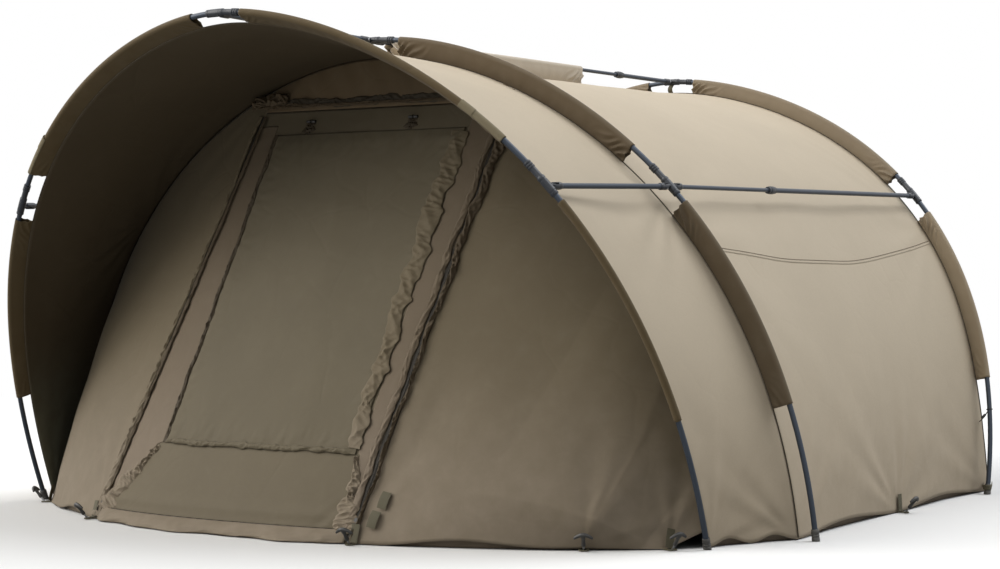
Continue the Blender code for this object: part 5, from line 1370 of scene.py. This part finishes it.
for word, side in SIDES:
    wing = WINGS[word]
    foot, head = wing[0, -1], on_zip(word, DOOR_TOP_SHARES[word] - 0.01)
    run = unit(head - foot)
    into_wing = square_to(run, wing[60, -20] - wing[60, -1])
    out = to_front(np.cross(run, into_wing))
    line = foot + np.linspace(0.004, 1, 200)[:, None] * (head - foot)
    for panel, body, way, lift in (("wing", "shelter", into_wing, out),
                                   ("door", "door", -into_wing, door_out)):
        tape = band(line + way * TAPE_WIDTH * 0.5 + lift * TAPE_PROUD, lift, TAPE_WIDTH, TAPE_THICK)
        cluster(f"zip_tape_{panel}_{word}", [tape], tape_cloth, body=body)
    full = np.linalg.norm(line[-1] - line[0])
    steps = np.arange(0, full, TEETH_PITCH / 4)
    teeth = line[0] + steps[:, None] * run + out * TEETH_PROUD
    swell = TEETH_RADIUS + TEETH_STEP * (np.sin(2 * math.pi * steps / TEETH_PITCH) > 0)
    cluster(f"zip_teeth_{word}", [sweep(teeth, swell, 6, out)], teeth_plastic)
    spots = np.linspace(0, 1, 200)
    aside, widths, crush, wave, finish = STORM_FLAPS[word]
    aside = np.interp(spots, (0, 0.84, 0.93, 1), aside)[:, None]
    flap_line = line + into_wing * aside + out * FLAP_PROUD
    widths = spots, np.interp(spots, (0, 0.1, 0.5, 0.9, 1), widths)
    crushed_strip(f"storm_flap_{word}", flap_line, widths, FLAP_ARCH, crush, 91 + side, finish, "front",
                  (f"front_wing_{word}",), into_wing, out, wave, wide=17, thick=0.0009)
    aside, widths, crush, wave, finish = ZIP_GUARDS[word]
    crushed_strip(f"zip_guard_{word}", line - into_wing * aside + door_out * GUARD_PROUD,
                  ((0, 0.75, 1), widths), FLAP_ARCH, crush, 95 + side, finish, "front", ("door_cloth",),
                  -into_wing, door_out, wave, body="door")


# The mud skirts. A strip of the front's cloth is sewn inside every hem and turned in on the ground.
# The door's own is sewn outside and bellies forward over the sill, with a wandering lower edge.
SKIRT_IN, SKIRT_UP, SKIRT_OFF, SKIRT_GAP = 0.014, 0.006, 0.0024, 0.0006
MUD_FLAP_EDGES, MUD_FLAP_W, MUD_FLAP_REACH, MUD_FLAP_GAP = (0.012, 0.988), 0.028, 0.026, 0.0012
MUD_PROUD, MUD_BELLY, MUD_WANDER, MUD_RIPPLE, MUD_CRUSH = 0.0026, 0.009, 0.010, 0.006, 0.0030
MUD_SEAM_PROUD, MUD_SEAM_RIPPLE, MUD_SEAM_RADIUS = 0.0030, 0.0008, 0.0013
GATHER_W, GATHER_WIDTHS = (0.185, 0.020), ((0, 0.3, 0.8, 1), (0.014, 0.034, 0.080, 0.095))
GATHER_PROUD, GATHER_LIFT, GATHER_CRUSH = 0.0028, 0.001, 0.013
GATHER_WAVE, GATHER_TILT, GATHER_LOWEST = 0.006, 0.0035, 0.0015
# The skirts' cloth is darkened as painted shade, and paler towards the ground as painted light.
skirt_cloth = cloth_material("skirt_cloth", (0.135, 0.102, 0.062), uneven=0.2, creases=0.8, foot=0.2)


def skirt(name, hem, inward):
    """A strip from just above the hem, inside it, that falls in a quarter circle to the ground."""
    t = np.linspace(0, 1, 7)[:, None]
    level = hem * (1, 1, 0)
    reach = SKIRT_OFF + SKIRT_IN * np.sin(t * math.pi / 2) ** 2
    height = (hem[:, 2] + SKIRT_UP)[None] * np.cos(t * math.pi / 2) + SKIRT_GAP
    grid = level[None] + inward[None] * reach[..., None]
    grid[..., 2] = height
    cloth_piece(name, grid, skirt_cloth, "front", "hung", ("hood",), thick=0.0006,
                face=-inward[len(inward) // 2])


for word, side in SIDES:
    row = 0 if side < 0 else -1
    inward = np.array((-float(side), 0.0, 0.0))
    skirt(f"hood_skirt_{word}", hood[row], np.broadcast_to(inward, hood[row].shape))
    skirt(f"side_skirt_{word}", canopy[row], np.broadcast_to(inward, canopy[row].shape))
    hem = WINGS[word][0]
    back = -to_front(unit(np.cross((0, 0, 1), headings(hem))))
    skirt(f"wing_skirt_{word}", hem[:-6], back[:-6])
skirt("back_skirt", wall[-1][4:-4], np.broadcast_to((0.0, -1.0, 0.0), wall[-1][4:-4].shape))
across, t = np.meshgrid(np.linspace(*MUD_FLAP_EDGES, 161), np.linspace(0, 1, 15))
flap_out = unit(door_out * (1, 1, 0))
belly = MUD_BELLY * np.sin(math.pi * t) ** 0.7 + MUD_FLAP_REACH * t
wander = (MUD_WANDER * np.sin(2 * math.pi * across * 2.3 + 2.4)
          + MUD_RIPPLE * np.sin(2 * math.pi * across * 5.3))
ends = rim(across, 14)
crushed = crumple(across * 1.6, t * 0.3, 65)
flap = on_door(across, MUD_FLAP_W * (1 - t), MUD_PROUD + MUD_CRUSH * t * crushed * ends)
flap = flap + flap_out * ((belly + wander * t ** 2) * ends)[..., None]
flap[..., 2] = np.maximum(flap[..., 2], MUD_FLAP_GAP)
cloth_piece("door_mud_flap", flap, front_shaded_cloth, "front", "hung", ("door_cloth",), thick=0.0008,
            face=(0, -1, 0), body="door")
sewn_proud = MUD_SEAM_PROUD + MUD_SEAM_RIPPLE * np.sin(np.linspace(0, 150, 200))
sewn = on_door(np.linspace(*MUD_FLAP_EDGES, 200), MUD_FLAP_W + 0.0003, sewn_proud)
cluster("door_mud_flap_seam", [sweep(sewn, MUD_SEAM_RADIUS, 8, door_out)], piping_shadow_cloth, body="door")
for word, first_u, last_u, seed in (("left", 0.165, 0.030, 64), ("right", 0.935, 0.965, 68)):
    gathered = on_door(np.linspace(first_u, last_u, 60), np.linspace(*GATHER_W, 60), GATHER_PROUD)
    crushed_strip(f"door_corner_gather_{word}", gathered, GATHER_WIDTHS, GATHER_LIFT, GATHER_CRUSH, seed,
                  front_shaded_cloth, "front", ("door_cloth",), wave=GATHER_WAVE, rows=200, wide=41,
                  folds=(16.0, 80.0), tilt=GATHER_TILT * (rim(np.linspace(0, 1, 41), 5) - 1),
                  lowest=GATHER_LOWEST, body="door")


# The roll over the door. The doorway's spare storm flap, rolled up along the door's top seam and
# bunched at both ends, in the front's own cloth darkened further as painted shade, over a dark gathered
# strip that is painted shadow above the roll.
ROLL_ENDS, ROLL_RADIUS, ROLL_SWELL = (-0.03, 1.02), 0.0050, 0.009
ROLL_UP, ROLL_OUT, ROLL_CRUSH, ROLL_CRUSH_ENDS, ROLL_SWIRL = 0.012, 0.004, 0.0030, 0.007, 0.0006
BUNCH_REACH, BUNCH_RISE = (0.12, 0.10), 0.004
BINDING_UP, BINDING_IN, BINDING_WIDTH = 0.011, 0.003, 0.026
BINDING_LIFT, BINDING_CRUSH, BINDING_WAVE = 0.001, 0.007, 0.003
HEAD_BUNCH_UP, HEAD_BUNCH_OUT, HEAD_BUNCH_LIFT, HEAD_BUNCH_CRUSH = (0.034, 0.020), 0.012, 0.004, 0.022
roll_line = seam_left + np.linspace(*ROLL_ENDS, 200)[:, None] * (seam_right - seam_left)
up_way = square_to(seam_along, upper[70] - seam_left)
roll_t = np.linspace(0, 1, 200)
bunch = np.exp(-(roll_t / BUNCH_REACH[0]) ** 2) + 0.7 * np.exp(-((1 - roll_t) / BUNCH_REACH[1]) ** 2)
thick_at = ROLL_RADIUS + ROLL_SWELL * bunch
roll_line = roll_line + up_way * (ROLL_UP + BUNCH_RISE * bunch[:, None]) + door_out * (
    ROLL_OUT + thick_at[:, None])
roll = sweep(roll_line, thick_at, 40, door_out)
turn = np.arange(40) / 40.0
spots = np.meshgrid(turn * 0.25, roll_t * 1.15)
folds = crumple(spots[0] * 3.0, spots[1] * 2.2, 66, number=9, low=3, high=30)
swirl = np.sin(2 * math.pi * (2 * spots[0] * 4 + 9 * spots[1]))
roll = roll + unit(roll - roll_line[:, None]) * (
    (ROLL_CRUSH + ROLL_CRUSH_ENDS * bunch[:, None]) * folds + ROLL_SWIRL * swirl)[..., None]
# The roll's cloth is darkened as painted shade.
roll_cloth = cloth_material("head_roll_cloth", (0.098, 0.069, 0.039), uneven=0.2, creases=0.7, sheen=0.0)
cluster("door_head_roll", [roll], roll_cloth)
# The dark binding is painted shadow in the groove above the roll.
over_line = roll_line + up_way * BINDING_UP - door_out * (BINDING_IN + thick_at[:, None] * 0.5)
crushed_strip("door_head_binding", over_line[6:-6], BINDING_WIDTH, BINDING_LIFT, BINDING_CRUSH, 67,
              piping_shadow_cloth, "front", ("door_head_strip",), up_way, wave=BINDING_WAVE, thick=0.0006)
for word, near, far, widths, seed in (("left", 0.095, -0.050, (0.030, 0.056, 0.036), 41),
                                      ("right", -0.150, -0.012, (0.030, 0.050, 0.040), 43)):
    corner = seam_left if word == "left" else seam_right
    first = corner + seam_along * near + up_way * HEAD_BUNCH_UP[0]
    last = corner + seam_along * far + up_way * HEAD_BUNCH_UP[1]
    line = first + np.linspace(0, 1, 60)[:, None] * (last - first) + door_out * HEAD_BUNCH_OUT
    crushed_strip(f"door_head_bunch_{word}", line, ((0, 0.5, 1), widths), HEAD_BUNCH_LIFT,
                  HEAD_BUNCH_CRUSH, seed, roll_cloth, "front", ("door_head_strip",), wave=0.006, rows=170,
                  wide=41, folds=(12.0, 70.0))


# The zip sliders and the toggles. Cast sliders with a pull tab and a corded end hang on the zips. Two
# barrel toggles on elastic loops hold the window's cover when it is rolled up.
SLIDER_SIZE, SLIDER_START = (0.030, 0.014, 0.007), 0.045
SLIDER_LIFT, SLIDER_PLATE = 0.0018, (0.0022, 0.0006)
TOGGLE_RADIUS, TOGGLE_LENGTH, TOGGLE_U = 0.0045, 0.036, {"left": 0.22, "right": 0.64}
TOGGLE_W, TOGGLE_PROUD, TOGGLE_WAIST = 0.97, 0.0058, 0.0034
LOOP_RADIUS, ELASTIC_RADIUS, TAB_SIZE = 0.0052, 0.0011, (0.060, 0.055)
cast = hard_material("slider_cast", (0.040, 0.040, 0.042), 0.6, 0.15)
toggle_plastic = hard_material("toggle_plastic", (0.018, 0.018, 0.020), 0.0, 0.2)
cord_cloth = cloth_material("elastic_cord", (0.035, 0.032, 0.024), uneven=0.1, creases=0.0, sheen=0.0)

for word, side in SIDES:
    wing = WINGS[word]
    foot, top = wing[0, -1], wing[-1, -1]
    run = unit(top - foot)
    out = square_to(run, hem_out(foot[0]))
    across = np.cross(run, out)
    lift = SLIDER_LIFT + SLIDER_SIZE[2] / 2
    spot = foot + run * (SLIDER_START + SLIDER_SIZE[0] / 2) + out * lift
    turn = (np.arange(24) + 0.5) * 2 * math.pi / 24
    narrow = 1 - 0.25 * (np.cos(turn) > 0) * np.abs(np.cos(turn))
    outline = squarish(turn, 0.6) * np.array(SLIDER_SIZE[:2]) / 2 * np.stack([turn * 0 + 1, narrow], -1)
    plates = [plate(spot + out * level, run, across, out, outline, *SLIDER_PLATE)
              for level in (-0.0022, 0.0022)]
    neck = plate(spot, run, across, out, outline * (0.35, 0.4), 0.0050, 0.0004)
    tab = plate(spot - run * 0.012 + out * 0.0036, run, across, out, outline * (0.62, 0.42), 0.0012, 0.0003)
    cluster(f"zip_slider_cast_{word}", plates + [neck, tab], cast, body=f"zip_slider_{word}",
            stands_for=(f"zip_slider_{word}",))
    t = np.linspace(0, 1, 30)[:, None]
    pull = spot - run * (0.016 + 0.020 * t) + out * (0.0036 + 0.002 * np.sin(math.pi * t))
    cluster(f"zip_pull_{word}", [sweep(pull, 0.0012 + 0.0014 * (t[:, 0] > 0.55), 10, out)], cord_cloth,
            body=f"zip_slider_{word}")

    spot = on_door(TOGGLE_U[word], TOGGLE_W, TOGGLE_PROUD)
    lie = square_to(door_out, seam_along)
    half = TOGGLE_LENGTH / 2
    profile = [(-half, 0.0018), (-half + 0.0008, TOGGLE_WAIST), (-half + 0.0022, TOGGLE_RADIUS),
               (-0.0045, TOGGLE_RADIUS), (-0.0030, TOGGLE_WAIST)]
    profile += [(-place, radius) for place, radius in reversed(profile)]
    cluster(f"toggle_barrel_{word}", [turned(spot, lie, profile, 24, door_out)], toggle_plastic,
            body=f"toggle_{word}", stands_for=(f"toggle_{word}",))
    t = np.linspace(-0.5, math.pi + 0.5, 40)[:, None]
    down = unit(np.cross(lie, door_out))
    loop = spot + LOOP_RADIUS * (np.cos(t) * down + np.sin(t) * door_out)
    cluster(f"toggle_loop_{word}", [sweep(loop, ELASTIC_RADIUS, 10, lie)], cord_cloth, body=f"toggle_{word}")
    # The crumpled tab round each toggle is dark with painted shade.
    c, r = np.meshgrid(np.linspace(-1, 1, 41), np.linspace(-1, 1, 41))
    ray = 0.72 + 0.24 * np.cos(5 * np.arctan2(r, c) + 1.3) ** 3
    fade = np.clip(1 - np.sqrt(c ** 2 + r ** 2) / ray, 0, 1)
    clear = np.clip(np.hypot(c * 0.028, (r - 0.625) * 0.031) / 0.014, 0, 1) ** 2
    crushed = np.abs(crumple(c * 0.5 + 3, r * 0.5, 68 + side, number=6, low=3, high=12))
    patch = on_door(TOGGLE_U[word] + c * 0.030, 0.955 + r * 0.024,
                    0.0012 + fade * (0.0004 + 0.0090 * clear * crushed))
    patch_piece = skin(f"toggle_tab_{word}", patch, lip_shade, thick=0.0006, face=door_out, body="door",
                       slot="front", keep=(fade[1:, 1:] + fade[:-1, :-1] > 0.02))


# The webbing. Olive tape sewn to the hems for the pegs, over the ends of the front sleeves, and in
# two closing tabs by the right zip. Fine slanting ribs, from a wave, stand for its weave.
WEB_COLOUR, WEB_THICK, WEB_SCALE = (0.098, 0.086, 0.048), 0.0016, 260.0
webbing = surface_material("webbing", COATED_WEAVE, {"Colour": (*WEB_COLOUR, 1), "Uneven": 0.3},
                           {"Lengths": "Object", "Place": "Object"}, 0.0003)
web_tree = webbing.node_tree
web_ribs = node(web_tree, "TexWave", {"Scale": WEB_SCALE, "Vector": node(web_tree, "TexCoord").outputs[
    "Object"]}, bands_direction="DIAGONAL")
web_bump = web_tree.nodes["Principled BSDF"].inputs["Normal"].links[0].from_node
feed(web_tree, web_bump, {"Height": web_ribs.outputs["Fac"]})
LEAN, PEG_LOOP, PEG_TAB = math.radians(38.0), (0.010, 0.022, 0.0115), (0.058, 0.026)
RIDGE_TIE_WIDTH, CLOSING_TABS, CLOSING_TAB_SIZE = 0.020, ((0.925, 0.094), (0.934, 0.050)), (0.050, 0.030)
PEG_RIGHT_FOOT, PEG_WING_X, PEG_SIDE_SHARE, PEG_DOOR_GAP = (1.355, 0.066), 1.022, 0.5, 0.0155


def once(path):
    """A path without the points that repeat the one before."""
    return path[np.append(True, np.linalg.norm(np.diff(path, axis=0), axis=-1) > 1e-6)]


def tape_loop(start, end, over, half, bulge, straight, bend):
    """A tape's path out from start to end, round in an arc, and back, half its width off on each side."""
    way = unit(end - start)
    t = np.linspace(0, 1, straight)[:, None]
    turn = np.linspace(-math.pi / 2, math.pi / 2, bend)[:, None]
    return once(np.concatenate([start + (end - start) * t - over * half,
                                end + half * (np.sin(turn) * over + np.cos(turn) * way * bulge),
                                end + (start - end) * t + over * half]))


side_hem = bay(np.array([float(LAST)]), np.array([PEG_SIDE_SHARE]), "mid", "rear")[0][0, 0]
left_corner, right_corner = hem_line(-HEM_CORNER_X), hem_line(HEM_CORNER_X)
foot_way = np.array([PEG_RIGHT_FOOT[0], PEG_RIGHT_FOOT[1] - DEPTH_MIDDLE, 0]) - right_corner
PEGS = (
    ("peg_door_left", hem_line(DOOR_LEFT_X - PEG_DOOR_GAP), hem_out(DOOR_LEFT_X - PEG_DOOR_GAP)),
    ("peg_door_right", hem_line(DOOR_RIGHT_X + PEG_DOOR_GAP), hem_out(DOOR_RIGHT_X + PEG_DOOR_GAP)),
    ("peg_wing", hem_line(PEG_WING_X), hem_out(PEG_WING_X)),
    ("peg_corner_left", left_corner, unit(foot_way * (-1, 1, 0))),
    ("peg_corner_right", right_corner, unit(foot_way * (1, 1, 0))),
    ("peg_side_left", side_hem * (-1, 1, 1), np.array([-1.0, 0, 0])),
    ("peg_side_right", side_hem, np.array([1.0, 0, 0])),
)
for peg_name, hem, outward in PEGS:
    level = hem * (1, 1, 0)
    sideways = np.cross((0, 0, 1), outward)
    loop = tape_loop(level - outward * PEG_LOOP[0], level + outward * PEG_LOOP[1], sideways,
                     PEG_LOOP[2], 0.75, 24, 24)
    cluster(f"{peg_name}_loop", [band(loop + (0, 0, 0.0021), (0, 0, 1), 0.0056, 0.0034, 10)], webbing)
    t = np.linspace(0, 1, 24)[:, None]
    up = np.array([0, 0, 1.0]) if "side" in peg_name else unit(np.array([0, 0.28, 1.0]))
    tab_line = once(np.concatenate([level + up * (PEG_TAB[0] - 0.050 * t) + outward * (0.0035 + 0.002 * t),
                                    level + up * 0.006 + outward * (0.006 + 0.012 * t)]))
    cluster(f"{peg_name}_tab", [band(tab_line, outward, PEG_TAB[1], WEB_THICK, 12)], webbing)

for number, (across_at, up_at) in enumerate(CLOSING_TABS):
    wing = WINGS["right"]
    column = int(across_at * (wing.shape[1] - 1))
    row = int(up_at * (wing.shape[0] - 1))
    base, out = wing[row, column], face_out(wing)[row, column]
    run = unit(wing[row + 8, column] - wing[row, column])
    t = np.linspace(0, 1, 14)[:, None]
    line = base + run * CLOSING_TAB_SIZE[0] * (t - 0.5) + out * (0.010 + 0.004 * np.sin(math.pi * t))
    cluster(f"closing_tab_{number + 1}", [band(line, out, CLOSING_TAB_SIZE[1], 0.0022, 12)], webbing)


def wrap(first, last, spare, spread, rows):
    """Part of a tube round the front pole between two stations: arcs of half angle spread about the
    way forwards and outwards, standing off the sleeve by spare."""
    share = station("front", np.linspace(first, last, rows))
    inward = rib_inward("front", share)
    forward_way = to_front(np.cross(rib_heading("front", share), inward))
    arc = np.linspace(-spread, spread, 25)[None, :, None]
    radius = SLEEVE_RADIUS + spare * (1 - 0.25 * np.abs(arc / spread) ** 3)
    return on_rib("front", share)[:, None] + radius * (
        np.cos(arc + 0.7) * forward_way[:, None] - np.sin(arc + 0.7) * inward[:, None])


strap_cloth = cloth_material("sleeve_strap_web", (0.200, 0.165, 0.098), uneven=0.25, creases=0.3, dust=0.3)
for word, side in SIDES:
    end = STRAP_ENDS[word]
    for name, first, last, spare in (("strap", end - 0.85, end, 0.0030),
                                     ("strap_fold", end - 0.92, end - 0.64, 0.0046)):
        shell = wrap(side * first, side * last, spare, 1.0, 50)
        cloth_piece(f"sleeve_{name}_{word}", shell, strap_cloth, "sleeve", "stretched",
                    (f"front_sleeve_upper_{word}",), thick=0.0014, face=from_line(shell.mean(1)))
high, low = on_rib("rear", 0.0) - (0, 0, 0.010), seam("rear", 0.0)
drop = np.linspace(0, 1, 16)[:, None]
tie = high + drop * (low - high) - np.array((0, 0.012, 0)) * np.sin(math.pi * drop)
cluster("ridge_tie", [band(tie, (0, 1, 0), RIDGE_TIE_WIDTH, 0.0018, 12)], webbing)


# The pegs. Seven T-pegs with a steel shank and a black moulded grip that droops at both ends, pushed
# in at a slant through the webbing. Only what stands above the ground is modelled.
SHANK_RADIUS, SHANK_LENGTH, GRIP_RADIUS, GRIP_LENGTH = 0.003, 0.020, 0.0062, 0.036
LOOP_EDGE, LOOP_TOP = 0.0277, 0.003
grip_plastic = hard_material("peg_grip", (0.016, 0.017, 0.020), 0.0, 0.22, grain=0.0004)
for peg_name, hem, outward in PEGS:
    level = hem * (1, 1, 0)
    sideways = np.cross((0, 0, 1), outward)
    ground = level + outward * (LOOP_EDGE - SHANK_RADIUS / math.cos(LEAN) - LOOP_TOP * math.tan(LEAN))
    axis = outward * math.sin(LEAN) + np.array([0, 0, math.cos(LEAN)])
    shank = turned(ground, axis, [(0, SHANK_RADIUS), (SHANK_LENGTH + 0.001, SHANK_RADIUS)], 16, sideways)
    shank[0] -= (shank[0, :, 2] / axis[2])[:, None] * axis
    cluster(f"{peg_name}_shank", [shank], steel)
    neck = SHANK_LENGTH + GRIP_LENGTH
    grip = turned(ground, axis, [
        (SHANK_LENGTH, 0.0042), (SHANK_LENGTH + 0.0015, GRIP_RADIUS - 0.0006),
        (SHANK_LENGTH + 0.004, GRIP_RADIUS), (SHANK_LENGTH + 0.012, GRIP_RADIUS - 0.0010),
        (SHANK_LENGTH + 0.022, GRIP_RADIUS - 0.0012), (neck - 0.004, GRIP_RADIUS), (neck, 0.0072),
        (neck + 0.005, 0.0060), (neck + 0.0085, 0.0030)], 20, sideways)
    t = np.linspace(-1, 1, 33)
    arch = ground + axis * (neck + 0.0055 - 0.0150 * np.abs(t) ** 1.8)[:, None] + sideways * (
        0.0265 * t)[:, None]
    girth = 0.0057 * (1 - 0.45 * np.abs(t) ** 2.2) * np.clip((1.02 - np.abs(t)) * 12, 0.25, 1)
    over = np.cross(axis, sideways)
    head = sweep(arch, girth, 18, over)
    cluster(f"{peg_name}_grip", [grip, head], grip_plastic, stands_for=(peg_name,))


# The corner ties. At each rear foot a short cord with a line-lock is sewn to the canopy's corner and
# looped round the pole, and a webbing loop at the hem takes the pole's foot.
TIE_STATION, TIE_SHARE, TIE_POLE_STATION = 12.75, 0.985, 12.55
TIE_RADIUS, TIE_SAG, TIE_LOOP_RADIUS, TIE_LOOP_CORD = 0.0016, 0.004, 0.0098, 0.0015
LOCK_SIZE, LOCK_THICK, LOCK_PLACE = (0.011, 0.0062), 0.005, 0.42
FOOT_LOOP_HALF, FOOT_LOOP_HEIGHT, FOOT_LOOP_WIDTH = 0.0135, 0.024, 0.016
for word, side in SIDES:
    corner = bay(np.array([side * TIE_STATION]), np.array([TIE_SHARE]), "mid", "rear")[0][0, 0]
    pole_share = station("rear", side * TIE_POLE_STATION)
    pole_at, heading = on_rib("rear", pole_share), rib_heading("rear", pole_share)
    away = unit(corner - pole_at)
    t = np.linspace(0, 1, 36)[:, None]
    cord = corner + (pole_at + away * 0.012 - corner) * t
    cord = cord - np.array((0, 0, TIE_SAG)) * np.sin(math.pi * t)
    cluster(f"corner_tie_{word}", [sweep(cord, TIE_RADIUS, 10)], cord_cloth)
    turn = np.linspace(0, 2 * math.pi, 40)[:, None]
    flat = square_to(heading, away)
    ring = pole_at + heading * 0.0008 * turn / math.pi + TIE_LOOP_RADIUS * (
        np.cos(turn) * flat + np.sin(turn) * np.cross(heading, flat))
    cluster(f"corner_tie_loop_{word}", [sweep(ring, TIE_LOOP_CORD, 10, heading)], cord_cloth)
    lock = corner + (pole_at - corner) * LOCK_PLACE
    wide = unit(np.cross(away, (0, 0, 1)))
    outline = squarish(np.arange(20) * 2 * math.pi / 20, 0.7) * LOCK_SIZE
    lock = plate(lock, away, wide, np.cross(away, wide), outline, LOCK_THICK, 0.001)
    cluster(f"line_lock_{word}", [lock], toggle_plastic)
    foot = on_rib("rear", float(side)) * (1, 1, 0)
    hem_at = seam("rear", side * float(LAST)) * (1, 1, 0)
    over = np.cross(unit(foot - hem_at), (0, 0, 1))
    loop = tape_loop(hem_at, foot, over, FOOT_LOOP_HALF, 1.0, 12, 20) + (0, 0, FOOT_LOOP_HEIGHT)
    cluster(f"foot_loop_{word}", [band(loop, (0, 0, 1), WEB_THICK, FOOT_LOOP_WIDTH, 10)], webbing)
